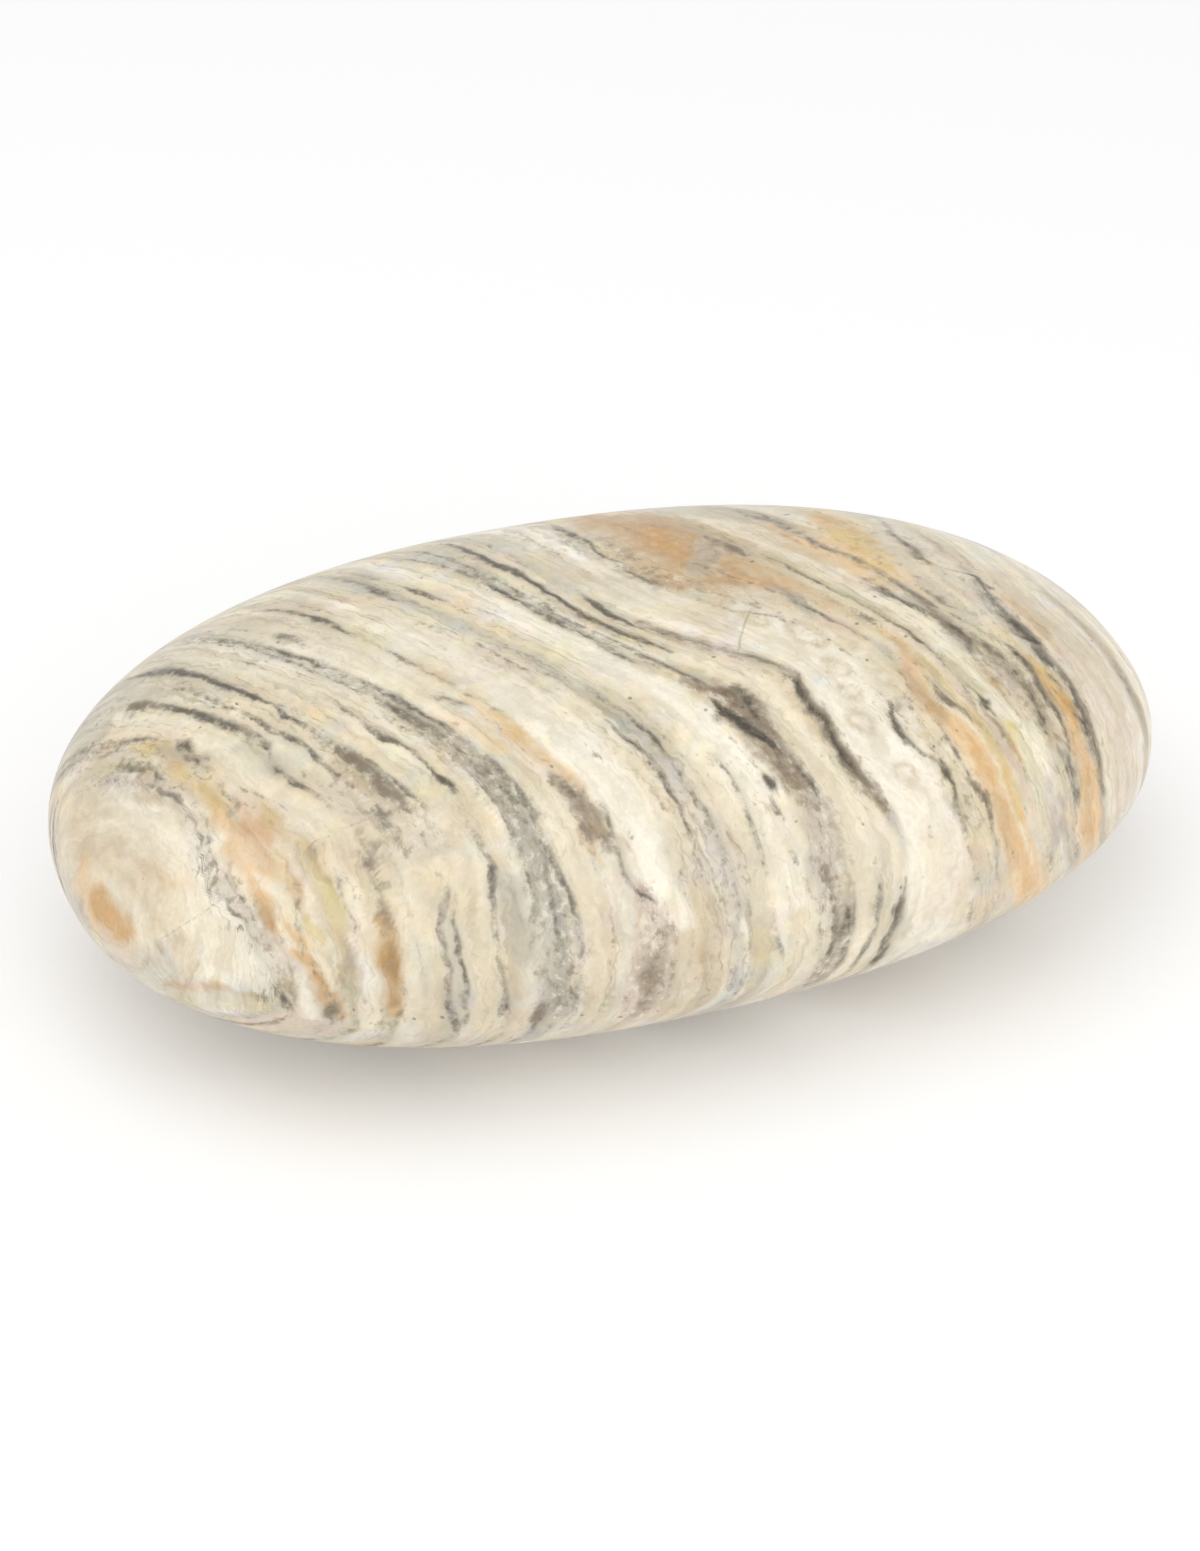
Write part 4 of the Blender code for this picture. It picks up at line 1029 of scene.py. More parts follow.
    ((-24, 14.8, .2, .35), (-14, 13, .25, .55), (-8, 13.1, .35, .75), (-3, 12.4, .25, .55),
     (3, 12, .18, .45), (8, 12.5, .3, .55), (17, 12.3, .22, .6), (21, 12.15, .24, .75),
     (25, 12.3, .14, .45), (32, 13.2, .14, .4), (38, 13.9, .25, .75), (43, 13.65, .28, .9),
     (47, 13.2, .24, .85), (50, 12.9, .2, .85), (53, 13.05, .26, .95), (56, 12.8, .18, .75),
     (60, 12.6, .15, .65), (63, 12.2, .15, .65), (66, 11.55, .26, .9), (69, 11.6, .15, .65),
     (73, 11.6, .2, .6), (77, 11.5, .14, .5), (84, 11.9, .1, .25), (91, 12, .16, .55), (96, 12.5, .18, .6),
     (101, 13.3, .14, .35)),
    ((-14, 21.6, .25, .4), (-5, 19.6, .3, .45), (0, 18.4, .2, .35), (4, 17.9, .24, .65), (8, 17.4, .32, .9),
     (11, 16.8, .24, .75), (14, 16.9, .12, .3), (18, 18.6, .18, .75), (21, 18.1, .22, .75),
     (23, 17.4, .2, .7), (26, 16.9, .32, .85), (30, 16.5, .24, .65), (34, 16.2, .4, .95),
     (37, 16.2, .36, .85), (40, 15.7, .34, .85), (43, 15.4, .36, .95), (46, 15.85, .24, .75),
     (50, 15.55, .28, .9), (53, 15.2, .3, .85), (56, 15, .3, .85), (60, 14.7, .34, .9),
     (64, 14.5, .22, .65), (67, 14.7, .22, .8), (71, 14.3, .16, .5), (74, 14.2, .2, .75),
     (77, 14.55, .22, .75), (80, 14.9, .14, .35), (90, 15.2, .12, .2)),
    ((-8, 23, .2, .3), (4, 21.2, .2, .2), (14, 19.8, .18, .3), (26, 19.2, .15, .35), (34, 19.2, .15, .3),
     (46, 17.6, .12, .25), (56, 17.4, .12, .25), (66, 17.2, .12, .15), (90, 17.6, .12, .15)),
    ((-2, 25.2, .2, .2), (12, 23.6, .2, .25), (35, 22.7, .3, .35), (48, 22.3, .35, .45), (57, 21.8, .4, .6),
     (62, 21.6, .4, .7), (68, 21.9, .3, .55), (75, 21.6, .3, .45), (84, 21.1, .25, .3)),
    ((0, 26.4, .2, .2), (30, 24.9, .15, .3), (60, 24.2, .15, .3), (84, 23.2, .15, .25)),
    ((0, 28.6, .2, .2), (30, 27.4, .15, .3), (60, 27, .15, .3), (90, 26.5, .15, .25)),
    ((0, 31, .12, .2), (30, 29.8, .12, .3), (60, 29.6, .12, .3), (90, 29.4, .12, .25)),
)
COMBS = 3
LEAST_GAP = 0.5
END_GAP = 3
FAR_HALF = 0.17
FRONT_FADE = 0.27
FRONT_LAP = 85
FRONT_SPREAD = 32


def thread_table(points):
    """A thread's place, half width and strength at each whole degree of lap."""
    laps, places, halves, strengths = (np.array(column, float) for column in zip(*points))
    middle = places.mean()
    far = np.arange(len(FAR_LAPS))
    laps = np.concatenate([laps, FAR_LAPS])
    places = np.concatenate([places, middle + FAR_SWAY * np.sin(middle * 0.23 + far * 1.9)])
    halves = np.concatenate([halves, np.full(len(far), FAR_HALF)])
    strengths = np.concatenate([strengths, 0.5 + 0.4 * np.sin(middle * 5.1 + far * 1.7)])
    degrees = np.arange(361) % 360
    return np.array([np.interp(degrees, laps, row, period=360) for row in (places, halves, strengths)])


def comb(threads):
    """For each point of the stone: which thread is nearest, how far off, and how strong."""
    tables = np.array([thread_table(points) for points in threads])
    for near, far in zip(tables, tables[1:]):
        far[0] = np.maximum(far[0], near[0] + LEAST_GAP)
    degrees = np.arange(361)
    here = np.mod(lap, 360)
    courses = np.array([np.interp(here, degrees, table[0]) for table in tables])
    before_first = np.maximum(courses[0] - place, 0)
    past_last = np.maximum(place - courses[-1], 0)
    order = (past_last - before_first) / END_GAP
    for near, far in zip(courses, courses[1:]):
        order += np.clip((place - near) / (far - near), 0, 1)
    order = np.clip(order, -0.45, len(threads) - 0.55)
    nearest = np.rint(order).astype(int)
    everywhere = np.arange(len(place))
    halves = np.array([np.interp(here, degrees, table[1]) for table in tables])[nearest, everywhere]
    strengths = np.array([np.interp(here, degrees, table[2]) for table in tables])[nearest, everywhere]
    strengths *= 1 - FRONT_FADE * np.exp(-(((here - FRONT_LAP) / FRONT_SPREAD) ** 2))
    offset = (place - courses[nearest, everywhere]) / halves
    return np.stack([order, offset, strengths], axis=1)


combs = [comb(THREADS[number::COMBS]) for number in range(COMBS)]

# ---------------------------------------------------------------------------------------------
# The clots. Where a parting was thick, its dark mineral gathered in ragged lumps, and mottled
# rock lies around it. Some zones are full of fine grey pinstripes, and some are almost clean.

charcoal = np.zeros(len(spots))
umber = np.zeros(len(spots))
mottle = np.full(len(spots), 0.12)
stripes = np.full(len(spots), 0.55)


def deposit(field, strength, *course):
    """Gathers a mineral along a course. It thins outwards, and a half of it just shows."""
    np.maximum(field, strength * np.clip(1 - 0.5 * swath(course), 0, 1), out=field)


def grade(field, level, *course):
    """Brings a field to a level along a course, with wide soft edges."""
    cover = np.clip(1.5 - swath(course), 0, 1)
    field[:] = field * (1 - cover) + level * cover


for strength, *course in (
    (.95, (-16, -25.2, .2), (-14, -25.35, .33), (-12, -25.7, .3), (-10, -26, .15)),
    (.62, (30, -18.2, .25), (36, -18.5, .4), (42, -18.8, .4), (47, -19, .25)),
    (.45, (46, -19.4, .3), (56, -19.4, .5), (70, -19.4, .6), (84, -19.3, .6), (98, -19.2, .45)),
    (1.35, (31.5, -5.5, .25), (33.5, -5.45, .42), (36, -5.35, .46), (39, -5.1, .35), (41, -4.9, .18)),
    (.9, (30.5, -3.7, .25), (32.5, -4, .5), (35, -4.4, .35)),
    (.8, (84, -4.75, .2), (87, -4.8, .4), (89, -4.9, .45), (91, -5, .3)),
    (.5, (98, -4.9, .4), (105, -4.9, .6), (111, -4.6, .6)),
    (1.05, (31.5, -.7, .18), (33, -.95, .3), (36, -1.25, .32), (39, -1.3, .26), (42, -1.5, .18),
     (45, -1.85, .26), (48, -1.95, .24), (50, -1.8, .15)),
    (.7, (-14, 13.9, .3), (-7.5, 13.1, .5), (-3, 12.6, .35), (1, 12.3, .2)),
    (.9, (29, 11.6, .3), (31, 11.7, .4), (33.5, 11.3, .35), (35, 11.1, .2)),
    (.75, (36, 12.3, .4), (40, 12.5, .55), (46, 12.3, .6), (50, 11.9, .5), (54, 11.5, .4), (56, 11.2, .2)),
    (.95, (38.5, 13.8, .12), (41, 13.7, .25), (44, 13.5, .22), (45, 13.4, .1)),
    (1, (45.8, 14.8, .1), (46.7, 14.8, .3), (47.6, 14.8, .1)),
    (1.1, (31, 16.1, .3), (33.2, 16.3, .5), (34.5, 16.2, .3)),
    (1, (36, 15.5, .2), (37.5, 16.1, .45), (39, 16.3, .35), (40, 15.6, .35), (42, 15.5, .4),
     (43.5, 15.6, .3)),
    (.85, (22.5, 18.2, .2), (24, 17.4, .3), (26.5, 16.9, .4), (29, 16.5, .3)),
    (.9, (56.5, 14.3, .2), (58, 14.8, .4), (60, 14.5, .4), (62.5, 14.6, .4), (64, 14.6, .2)),
):
    deposit(charcoal, strength, *course)
for strength, *where in (
    (.62, -7.5, -25.75, 2.5, .25), (.7, -14.5, -27.7, 1.5, .12), (.8, -4.3, -28.15, 2, .2),
    (.65, 9.7, -26.5, 1.4, .2), (.6, 25, -30.45, 2.2, .16), (.65, 37.5, -30.9, 3.5, .15),
    (.65, 103, -29.7, 2.6, .17), (.7, 30, -23.7, 2.2, .35), (.9, 28, -20.2, 2, .3),
    (.7, 14, -20.2, 1.6, .2), (.75, 11, -24.35, 1.5, .16), (.85, 99, -21.8, 4, .26),
    (.7, 38, -15.75, 2.2, .35), (.8, 14, -10.9, 1.5, .32), (.8, 33, -13.2, .9, .2),
    (.75, 51.8, -14.6, .8, .18), (.85, 49.5, -4.65, 2.5, .28), (.75, 45, -5.2, 2.4, .3),
    (.9, 48, -6.55, 2, .24), (.72, 54, -7.05, 2.2, .2), (.7, 61, -1.15, 1.2, .28),
    (.85, 87.5, -1.6, 3.5, .28), (.8, 104, -1.4, 4, .3), (1.2, 46.5, 8.45, 1.6, .42),
    (.95, 56.5, 3.3, 1.6, .36), (.8, 79, 5.7, .9, .18), (.7, 81.5, 6.2, .8, .14), (.8, 18.5, 10.8, 2.4, .3),
    (1, 67.2, 11.85, 1.2, .36), (.9, 72.5, 11.8, 1.2, .36),
):
    deposit(charcoal, strength, *spot(*where))
for strength, *course in (
    (.7, (-20, -25.7, .1), (-18, -26.6, .14), (-16.5, -27.2, .15), (-14, -27.5, .1)),
    (.65, (-13, -27.8, .1), (-10, -28.1, .15)),
    (.5, (55, -26.2, .2), (58, -26.4, .25), (62, -26.5, .15)),
    (.85, (19, -22.2, .3), (23, -22.6, .35), (27, -22.7, .32), (30, -22.6, .2)),
    (.62, (24, -25, .2), (29, -24.2, .5), (32, -23.9, .4), (38, -24.1, .3)),
    (.5, (14, -18.4, .4), (24, -18.3, .6), (32, -18.5, .5)),
    (.92, (36.5, -15.8, .25), (39, -15.75, .45), (43, -15.7, .6), (46, -16.1, .5), (49, -16.1, .5),
     (50.5, -16, .25)),
    (.74, (84, -15.1, .3), (88, -14.9, .5), (93, -15, .6), (98, -14.9, .4)),
    (.7, (73, -14.5, .2), (77, -14.7, .3), (79, -14.6, .15)),
    (.78, (100, -14.8, .35), (106, -14.6, .55), (113, -14.5, .4)),
    (1.1, (26.5, -5.6, .35), (28.5, -4.7, .6), (31, -4.3, .9), (34, -4.6, .8), (38, -4.5, .4)),
    (.95, (40, -4.9, .6), (43, -5, .75), (47, -5.2, .65), (51, -5, .4)),
    (.5, (70, -5.8, .4), (76, -5.6, .5), (82, -5.2, .4)),
    (.95, (31, -.6, .3), (36, -1.2, .5), (40, -1.35, .45), (44, -1.75, .5), (50, -1.85, .5), (56, -1.6, .4),
     (62, -1.4, .25)),
    (.5, (12, -3.6, .3), (17, -3, .3), (21, -2, .3)),
    (.45, (22, -1.7, .25), (25, -1.1, .3), (28, -.6, .3)),
    (.5, (-6, 7.4, .3), (-2, 6.6, .6), (1, 5, .6), (3, 3.4, .4)),
    (.36, (-20, 7.6, .6), (-12, 7.2, 1.2), (-5, 6, 1.6), (2, 4.6, 1.6), (8, 3.8, 1.2)),
    (.75, (42, 4.2, .15), (41.4, 4.9, .16), (40.6, 5.6, .2), (41.5, 6, .15)),
    (.95, (42.5, 6.2, .15), (44.8, 6.45, .28), (46, 6.8, .15)),
    (.6, (34, 8.5, .1), (38, 8.3, .12), (43, 7.95, .12), (46, 7.8, .1)),
    (.9, (6.5, 17.6, .15), (8, 17.2, .35), (10, 16.8, .3), (11, 16.5, .15)),
    (.9, (17, 12.2, .2), (20, 12.3, .25), (23, 12, .35), (26, 11.6, .25), (28.5, 11.2, .35)),
    (.95, (50.6, 14.1, .12), (51.2, 14.7, .3), (50.8, 15.3, .2)),
    (.8, (50, 13.2, .12), (53, 13.1, .22), (57, 12.9, .16), (62, 12.5, .12)),
    (.85, (44, 15.9, .2), (48, 15.9, .2), (52, 15.6, .2), (57, 15.4, .2), (60, 15.1, .15)),
    (.85, (63, 14.5, .3), (67, 14.6, .25), (73, 14.3, .25), (77, 14.5, .15)),
    (.75, (56.5, 11.6, .12), (58, 11.9, .25), (59.5, 12.2, .15)),
    (.7, (62.5, 11.5, .12), (64, 11.9, .2), (66, 11.6, .15)),
):
    deposit(umber, strength, *course)
for strength, *where in (
    (.8, -9, -28.15, 1.6, .17), (.8, -.7, -26.6, 1.2, .2), (.62, 3, -27.1, 1.2, .15),
    (.62, -7, -26.4, 1.6, .17), (.85, 11.8, -27.5, 1.2, .22), (.65, 12.2, -28.05, 1, .18),
    (.6, 18, -27.1, 1.5, .12), (.75, -28, -27, 4, .16), (.75, 33.5, -27.2, 1.2, .2),
    (.9, 97, -30.25, 3.2, .13), (.85, 101.5, -30.6, 1.6, .15), (.95, 104, -28.35, 3.5, .2),
    (.95, -39.5, -22.8, 4.5, .38), (.6, -41, -23.7, 3, .3), (.6, -54, -25.4, 4, .35),
    (1, 41.5, -25.75, 2.6, .3), (.7, 41, -25.3, 1.8, .3), (.8, 49, -25.87, 1.5, .34),
    (.75, 58, -26.25, 1.8, .38), (.7, 107, -26.2, 2.2, .3), (.7, 36, -25, 2, .3), (.7, 57, -26.3, 1.6, .3),
    (.95, 16.2, -22.15, 3, .36), (.9, 103.5, -20, 4.5, .34), (.75, 103, -20, 3, .2),
    (.7, -13, -5.3, 3, .55), (.9, -1, 7.3, 1.6, .4), (.6, 15, 5.3, 1.6, .3), (.6, 17.8, 7, .7, .3),
    (.85, 24, 7.35, 1.2, .35), (.55, 30.5, 6, 1.4, .25), (.7, 1.5, .4, 2, .3), (.65, 46, 7.8, 1.2, .3),
    (.8, 54, 4.4, 1.4, .22), (.85, 61.5, 4.6, 1.4, .25), (.8, 64.5, 5.1, 1.2, .2), (.6, 8, 12.6, 1.5, .4),
    (.95, 32, 11.5, 3, .5), (.7, 23.3, 13.2, 1.2, .35), (.7, 42.3, 10.4, .9, .3), (.9, 46, 14.6, 1.2, .25),
    (.8, 37, 15.8, 1.4, .3), (.7, 36, 18, 1.2, .25), (.6, 48.5, 13.6, .7, .2), (.5, 59, 21.6, 4, .5),
    (.5, 70, 21.5, 4, .4),
):
    deposit(umber, strength, *spot(*where))

# The far side's clots and mottled stretches.
FAR_CLOTS = 34
FAR_MOTTLES = 9
for number in range(FAR_CLOTS):
    first = far_side.uniform(128, 262)
    long = far_side.uniform(6, 26)
    middle = far_side.uniform(-30, 27)
    half = far_side.uniform(0.2, 0.55)
    sway = far_side.uniform(-0.4, 0.4)
    deposit(
        (charcoal, umber, umber)[number % 3],
        far_side.uniform(0.6, 1.1),
        (first, middle - sway, half * 0.3),
        (first + long * 0.4, middle, half),
        (first + long, middle + sway, half * 0.3),
    )
for _ in range(FAR_MOTTLES):
    first = far_side.uniform(128, 220)
    middle = far_side.uniform(-28, 24)
    grade(mottle, 0.8, (first, middle, 0.5), (first + 24, middle + 0.3, 1.0), (first + 55, middle, 0.6))

for level, *course in (
    (.8, (-40, -27.6, .5), (-15, -27.9, .5), (0, -28.3, .45), (12, -29.3, .5), (25, -30.4, .6),
     (45, -30.8, .7), (70, -30.6, .6), (105, -30.2, .5)),
    (.8, (-66, -26, 1), (-50, -25.7, .9), (-35, -25.8, .7), (-25, -26, .5)),
    (.7, (12, -23, 1.2), (25, -23.3, 1.4), (40, -23.4, 1)),
    (.85, (-30, -17.2, .3), (-5, -17.7, .4), (12, -18.3, .8), (30, -18.3, .9), (46, -19.1, .9),
     (60, -19.5, 1), (90, -19.5, 1), (106, -19.2, .7)),
    (.7, (36, -15.8, .7), (50, -16, .6)),
    (.85, (66, -15.2, .9), (90, -15.1, 1.1), (112, -14.5, .9)),
    (.45, (34, -11.3, .8), (60, -11.6, 1), (74, -11.4, .8)),
    (.4, (14, 2.2, .8), (28, 2.8, 1.3), (40, 2.2, 1), (52, 1, .6)),
    (.85, (-20, -5.2, .5), (-8, -5.8, .6), (8, -6.5, .5), (22, -5.4, .5), (30, -4.8, .9), (50, -5, 1),
     (75, -5.6, .8), (108, -4.8, .7)),
    (.6, (10, -3.8, .5), (20, -2.6, .6), (30, -1, .6), (55, -1.8, .7)),
    (.9, (-18, 2.4, 1.2), (-6, 1.4, 1), (4, 1.6, 1.2), (12, 2.4, 1.4), (18, 3.5, 1)),
    (.4, (-22, 6.5, 1.4), (-6, 5.6, 2), (6, 3.6, 2), (16, 4.6, 1.2)),
    (.85, (40, 3.4, 1.2), (55, 3.6, 1.2), (70, 3.8, 1)),
    (.8, (14, 11.4, 1.2), (30, 11.6, 1.4), (45, 11.8, 1.6), (56, 11.4, 1.2), (74, 11.6, .8)),
    (.5, (-4, 13, 2), (10, 14, 2.4), (30, 13.4, 1.8), (60, 13, 1.4), (90, 11.4, 1.4)),
    (.45, (-6, 18.4, 1.6), (20, 16.8, 1.4), (44, 13.8, 1.2), (60, 14, 1)),
    (.7, (20, 17.6, .9), (35, 16.4, 1.2), (50, 15.6, 1), (64, 14.8, .8)),
):
    grade(mottle, level, *course)
for level, *course in (
    (.85, (-70, -22, 5), (-40, -20.5, 5.5), (-10, -20.8, 4.2), (10, -21, 3.2), (24, -20.8, 2.4)),
    (.9, (-50, -11, 3.4), (-20, -11, 3.2), (0, -10.6, 2.6), (16, -10.4, 2.2)),
    (.9, (-40, -3.4, 3), (-20, -5, 2.4), (0, -5.6, 2), (16, -5.6, 1.8)),
    (1, (26, -10.8, 1.4), (45, -10.9, 1.6), (64, -11.2, 1.6), (84, -11.4, 1.6), (108, -10.4, 1.4)),
    (.15, (-80, -33, 4.4), (-40, -32.6, 4), (0, -33, 4), (40, -34, 3), (80, -34, 3)),
    (.2, (-30, 7.2, 1.4), (-14, 6.2, 2), (0, 5, 2.2), (12, 5.2, 1.6), (30, 6, 1), (50, 5.8, 1),
     (75, 6.4, 1), (100, 8.8, 1)),
    (.2, (40, 14, .8), (60, 13.4, .8), (84, 12.8, 1.2)),
    (.85, (-34, 3, 2), (-20, 1.6, 1.8), (-10, .6, 1.2)),
    (.8, (20, 8.4, 1.6), (40, 8.2, 1.4), (60, 8.4, 1.2)),
    (.12, (34, .2, .9), (50, .2, 1.4), (75, .9, 1.6), (100, 1.2, 1.4)),
    (.15, (10, 1.2, .8), (20, 1.6, 1.4), (30, 2.2, 1.8), (38, 2.4, 1.4)),
    (.3, (12, -13.6, 1.2), (30, -13.8, 1.2), (60, -14, 1)),
    (.35, (20, -7.6, .8), (40, -7.4, .9), (66, -7.9, .8)),
    (.3, (-20, -24.5, .7), (0, -25.3, .8), (25, -26.2, .8)),
    (.3, (30, -21.2, .5), (50, -22.6, .5), (80, -23.1, .4)),
):
    grade(stripes, level, *course)

# ---------------------------------------------------------------------------------------------
# The finish. The rock is cut through and rubbed down with finer and finer grit, to a soft
# gloss. Fine sheets, grains, specks and hair cracks show in it, and dark seams polish less.

INK_CLAY = mineral(70, 63, 52)
THREAD_CLAY = mineral(78, 72, 60)
DARK_CLAY = mineral(92, 82, 66)
BROWN_CLAY = mineral(138, 117, 92)
GREY_CLAY = mineral(158, 148, 129)
MILK = mineral(253, 248, 234)
MILKY = (1.09, 1.09, 1.09)
MUDDY = (0.78, 0.77, 0.73)
DULL = (0.82, 0.80, 0.76)
BRIGHT = (1.12, 1.13, 1.14)
ARAGONITE_IOR = 1.55
POLISH = 0.34
GRAIN_RELIEF = 0.00005


def coat_attribute(name, kind, channels, values):
    """Writes one value to each point of the stone for the finish to read."""
    layer = ground_mesh.attributes.new(name, kind, "POINT")
    layer.data.foreach_set(channels, values.astype(np.float32).ravel())


layered = np.stack([spots @ frontward, spots @ upward, growth], axis=1)
coat_attribute("rock", "FLOAT_VECTOR", "vector", layered)
coat_attribute("tint", "FLOAT_COLOR", "color", np.column_stack([tint, np.ones(len(spots))]))
coat_attribute("zones", "FLOAT_COLOR", "color", np.column_stack([charcoal, umber, mottle, stripes]))
for number, values in enumerate(combs):
    coat_attribute(f"comb_{number}", "FLOAT_VECTOR", "vector", values)

# Healed cracks that cross the sheets, each as the points in mm that it runs through. The finish
# reads how far aside of the nearest crack each spot lies, and how far past its end.
CRACKS = (
    ((-31.3, -11.7, 12.3), (-30.7, -12.1, 12.9), (-30.3, -12.3, 13.3), (-29, -12.8, 14.3),
     (-28.1, -12.9, 15)),
    ((-22.9, -13.3, 17.6), (-22.3, -13, 17.9), (-21.6, -13.1, 18.2), (-20.3, -13, 18.5),
     (-19.4, -13.1, 18.9), (-18.1, -12.9, 19.2)),
    ((8.7, -3.1, 22.6), (8, -3.7, 22.6), (7.1, -5, 22.5), (6.3, -6.4, 22.4), (5.7, -7.6, 22.2)),
)
CRACK_HALF = 0.08
FAR_OFF = 10.0
outward = spots / half_sizes**2
crack = np.full((len(spots), 3), FAR_OFF)
closest = np.full(len(spots), np.inf)
for course in CRACKS:
    for run, gap in stretches(course):
        sideways = np.cross(run, outward)
        sideways /= np.linalg.norm(sideways, axis=1)[:, None]
        distance = np.linalg.norm(gap, axis=1)
        aside = np.sum(gap * sideways, axis=1)
        past = np.sqrt(np.maximum(distance**2 - aside**2, 0))
        nearer = distance < closest
        closest[nearer] = distance[nearer]
        crack[nearer, :2] = np.column_stack([aside, past])[nearer]
coat_attribute("crack", "FLOAT_VECTOR", "vector", crack)


def finish_aragonite(material):
    """The rock's own tint, and over it the fine sheets, threads, clots, cracks and pores."""
    bench = Bench(material.node_tree)

    def attribute(name, output=1):
        """What a spot of the stone was given under this name."""
        return bench.node("ShaderNodeAttribute", {"attribute_name": name}, None, output)

    def step(value, low, high):
        """0 where the value is at low, 1 where it is at high, and smooth in between."""
        return bench.node(
            "ShaderNodeMapRange",
            {"interpolation_type": "SMOOTHSTEP"},
            {"Value": value, "From Min": low, "From Max": high},
        )

    def lay(under, share, over, how="MIX"):
        """Lays a share of a colour over another one."""
        under, over = (
            colour if isinstance(colour, Wire) else (*map(float, colour), 1) for colour in (under, over)
        )
        mixing = {"data_type": "RGBA", "blend_type": how}
        return bench.node("ShaderNodeMix", mixing, {0: share, 6: under, 7: over}, 2)

    rock = attribute("rock")
    zones = attribute("zones", output=0)
    stripiness = Wire(bench, zones.socket.node.outputs["Alpha"])
    dark, brown, mottled = bench.parts(zones)

    def sheets(along, through, detail, roughness, seed, laid=rock):
        """Noise around 0, drawn out along the sheets. Both scales are in features per mm."""
        place_in_noise = {
            "Vector": laid,
            "Location": (seed, seed * 0.7, seed * 1.3),
            "Scale": (along, along, through),
        }
        stretched = bench.node("ShaderNodeMapping", {"vector_type": "POINT"}, place_in_noise)
        pattern = {"Vector": stretched, "Scale": 1, "Detail": detail, "Roughness": roughness}
        return bench.node("ShaderNodeTexNoise", None, pattern) - 0.5

    # Grains, and broad sheets in the rock's own tint.
    grain = sheets(2.4, 3.4, detail=2, roughness=0.6, seed=11)
    speck = sheets(1.3, 2.2, detail=3, roughness=0.65, seed=33)
    patch = sheets(0.3, 0.5, detail=1, roughness=0.6, seed=39)
    crinkle = sheets(0.8, 0.9, detail=2, roughness=0.6, seed=51)
    ahead, aloft, through = bench.parts(rock)
    crinkled = bench.vector(ahead, aloft, through + crinkle * 0.9)
    folded = bench.vector(ahead, aloft, through + crinkle * 2.2)
    wide = sheets(0.14, 0.8, detail=2, roughness=0.55, seed=3, laid=folded)
    tone = lay(DULL, step(wide * 1.1 + grain * 0.5 + speck * 0.75, -0.4, 0.4), BRIGHT)
    colour = lay(attribute("tint", output=0), 1, tone, "MULTIPLY")

    # Grey and milky pinstripes, crinkled and broken by the grains.
    broken = speck * 0.4 + grain * 0.3
    pinstripe = sheets(0.10, 1.8, detail=2, roughness=0.6, seed=21, laid=crinkled) + broken
    hairline = sheets(0.16, 4.5, detail=1, roughness=0.6, seed=27, laid=crinkled) + broken
    for stripe, low, high, shade in (
        (pinstripe, -0.04, -0.20, MILKY),
        (pinstripe, 0.02, 0.18, MUDDY),
        (hairline, 0.04, 0.22, MUDDY),
    ):
        colour = lay(colour, step(stripe, low, high) * stripiness, shade, "MULTIPLY")

    # Mottled zones, with dark specks and pale ones.
    colour = lay(colour, step(speck, 0.02, 0.16) * mottled * 0.6, BROWN_CLAY)
    colour = lay(colour, step(speck, -0.05, -0.16) * mottled * 0.45, MILK)

    # Threads of dark mineral between the sheets, each with a halo, wandering and broken.
    breaks = patch * 0.9 + speck * 0.9 + grain * 0.6
    for number in range(COMBS):
        order, offset, strength = bench.parts(attribute(f"comb_{number}"))
        own = 1 - (abs(bench.math("FRACT", order + 0.5) - 0.5) > 0.36)
        wander = abs(offset + speck * 2.4)
        present = step(strength + breaks, 0.25, 1) * own
        colour = lay(colour, step(wander, 3.4, 0.8) * present * 0.3, GREY_CLAY)
        colour = lay(colour, step(wander, 1.6, 0.3) * present * 0.88, THREAD_CLAY)

    # Clots of dark mineral, ragged at the edge, greyer round it and uneven inside.
    ragged = speck * 1.3 + patch * 0.5 + grain * 0.5
    browned = brown + ragged
    darkened = dark + ragged
    uneven = step(grain + speck * 0.5, 0.16, -0.1)
    clotted = step(darkened, 0.4, 1)
    for share, clay in (
        (step(browned, 0.2, 0.6) * 0.4, GREY_CLAY),
        (step(browned, 0.4, 1) * (0.45 + uneven * 0.45), BROWN_CLAY),
        (step(browned, 0.8, 1.4) * (0.3 + uneven * 0.5), DARK_CLAY),
        (step(darkened, 0.2, 0.6) * 0.4, GREY_CLAY),
        (clotted * (0.6 + uneven * 0.35), DARK_CLAY),
        (step(darkened, 0.7, 1.15) * (0.45 + uneven * 0.5), INK_CLAY),
    ):
        colour = lay(colour, share, clay)

    # Healed cracks, dark and broken.
    aside, past, _ = bench.parts(attribute("crack"))
    cracked = abs(aside + speck * 0.25) * (1 / CRACK_HALF) + past * 4
    line = step(cracked, 1.6, 0.4) * step(grain + patch, -0.2, 0.15)
    colour = lay(colour, line * 0.4, BROWN_CLAY)

    # Pores: a few tiny dark dots.
    pores = bench.node("ShaderNodeTexVoronoi", None, {"Vector": rock, "Scale": 0.8})
    chance, _, _ = bench.parts(Wire(bench, pores.socket.node.outputs["Color"]))
    colour = lay(colour, step(pores, 0.13, 0.06) * (chance > 0.86) * 0.6, DARK_CLAY)

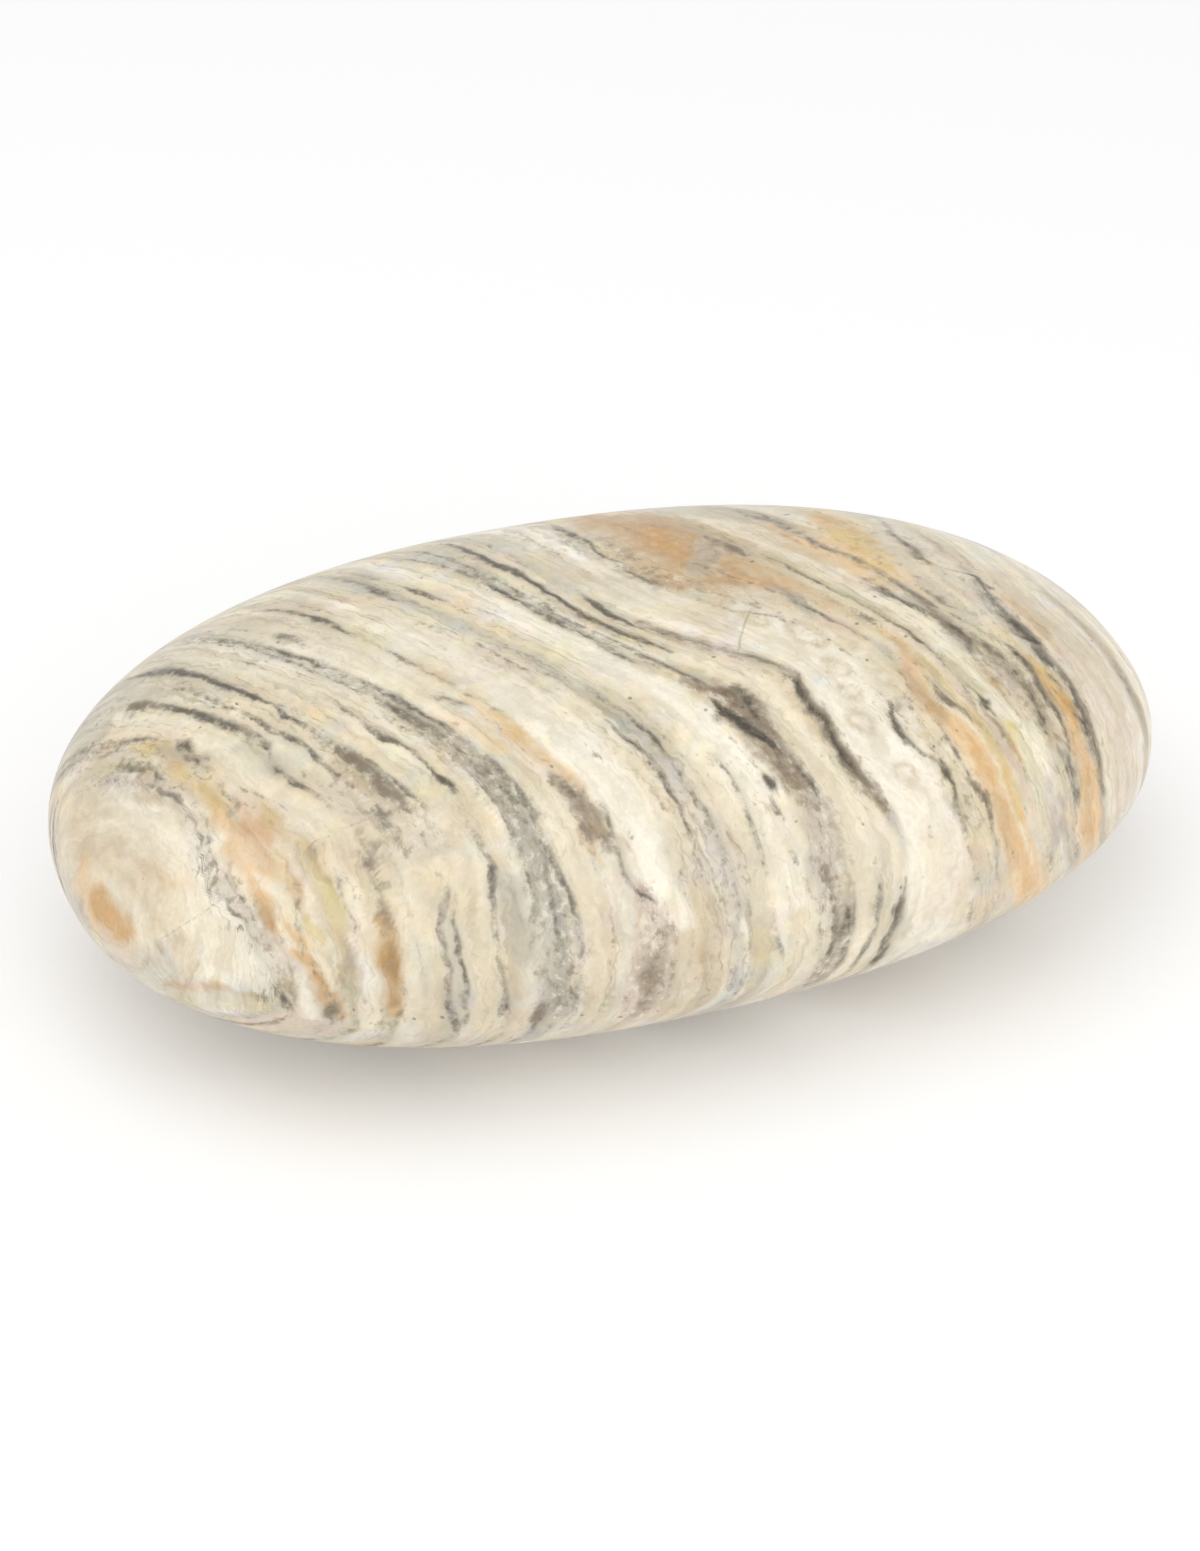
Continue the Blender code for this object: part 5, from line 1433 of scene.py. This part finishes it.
    relief = {"Strength": 0.12, "Distance": GRAIN_RELIEF, "Height": grain - dark}
    shader = material.node_tree.nodes["Principled BSDF"]
    shader.inputs["IOR"].default_value = ARAGONITE_IOR
    for name, wire in (
        ("Base Color", colour),
        ("Roughness", POLISH + clotted * 0.15 + grain * 0.12),
        ("Normal", bench.node("ShaderNodeBump", None, relief)),
    ):
        material.node_tree.links.new(wire.socket, shader.inputs[name])


finish_aragonite(aragonite)
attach(stone, "root")
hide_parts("stone")

# ---------------------------------------------------------------------------------------------
# The studio. A plain pale board, large soft lamps, and a pale room around them.

BOARD_HALF = 3.0
BOARD_PAINT = {
    "Base Color": (0.95, 0.95, 0.95, 1),
    "Roughness": 0.9,
    "Specular IOR Level": 0,
    "Emission Color": (1, 1, 1, 1),
    "Emission Strength": 0.12,
}
ROOM_BRIGHTNESS = 0.66

board_mesh = bpy.data.meshes.new("studio_board")
corners = [(x * BOARD_HALF, y * BOARD_HALF, 0) for x, y in ((-1, -1), (1, -1), (1, 1), (-1, 1))]
board_mesh.from_pydata(corners, [], [(0, 1, 2, 3)])
board = bpy.data.objects.new("studio_board", board_mesh)
bpy.context.scene.collection.objects.link(board)
board_paint = bpy.data.materials.new("pale board")
board_paint.use_nodes = True
for name, value in BOARD_PAINT.items():
    board_paint.node_tree.nodes["Principled BSDF"].inputs[name].default_value = value
board_paint.cycles.emission_sampling = "NONE"
board_mesh.materials.append(board_paint)

room = bpy.data.worlds.new("studio room")
room.use_nodes = True
sky = room.node_tree.nodes["Background"]
sky.inputs["Color"].default_value = (1, 1, 1, 1)
sky.inputs["Strength"].default_value = ROOM_BRIGHTNESS
bpy.context.scene.world = room
bpy.context.scene.view_settings.view_transform = "Standard"


def looking_at(position, target):
    """The place of a lamp or a camera that looks at a target."""
    turn = (target - position).to_track_quat("-Z", "Y")
    return Matrix.Translation(position) @ turn.to_matrix().to_4x4()


def soft_lamp(name, position, side, watts):
    """A square lamp that looks at the middle of the stone."""
    light = bpy.data.lights.new(name, "AREA")
    light.shape = "SQUARE"
    light.size = side
    light.energy = watts
    lamp = bpy.data.objects.new(name, light)
    lamp.matrix_world = looking_at(Vector(position), Vector((0, 0, GIRDLE_HEIGHT / 1000)))
    bpy.context.scene.collection.objects.link(lamp)


soft_lamp("overhead lamp", (-0.15, -0.05, 0.5), 0.5, 0.75)
soft_lamp("front lamp", (0.05, -0.5, 0.4), 0.5, 0.8)

# ---------------------------------------------------------------------------------------------
# The camera: a 100 mm lens above and in front of the stone, a little to its left.

LENS = 100
SENSOR_WIDTH = 36
NEAREST_SEEN = 0.01
CAMERA_AZIMUTH = math.radians(-18.69)
CAMERA_ELEVATION = math.radians(33)
CAMERA_DISTANCE = 0.26877
CAMERA_TARGET = Vector((-0.00056, -0.00026, 0.01016))

camera = bpy.data.objects.new("camera", bpy.data.cameras.new("camera"))
camera.data.lens = LENS
camera.data.sensor_width = SENSOR_WIDTH
camera.data.clip_start = NEAREST_SEEN
backward = Vector(
    (
        math.sin(CAMERA_AZIMUTH) * math.cos(CAMERA_ELEVATION),
        -math.cos(CAMERA_AZIMUTH) * math.cos(CAMERA_ELEVATION),
        math.sin(CAMERA_ELEVATION),
    )
)
camera.matrix_world = looking_at(CAMERA_TARGET + backward * CAMERA_DISTANCE, CAMERA_TARGET)
bpy.context.scene.collection.objects.link(camera)
bpy.context.scene.camera = camera
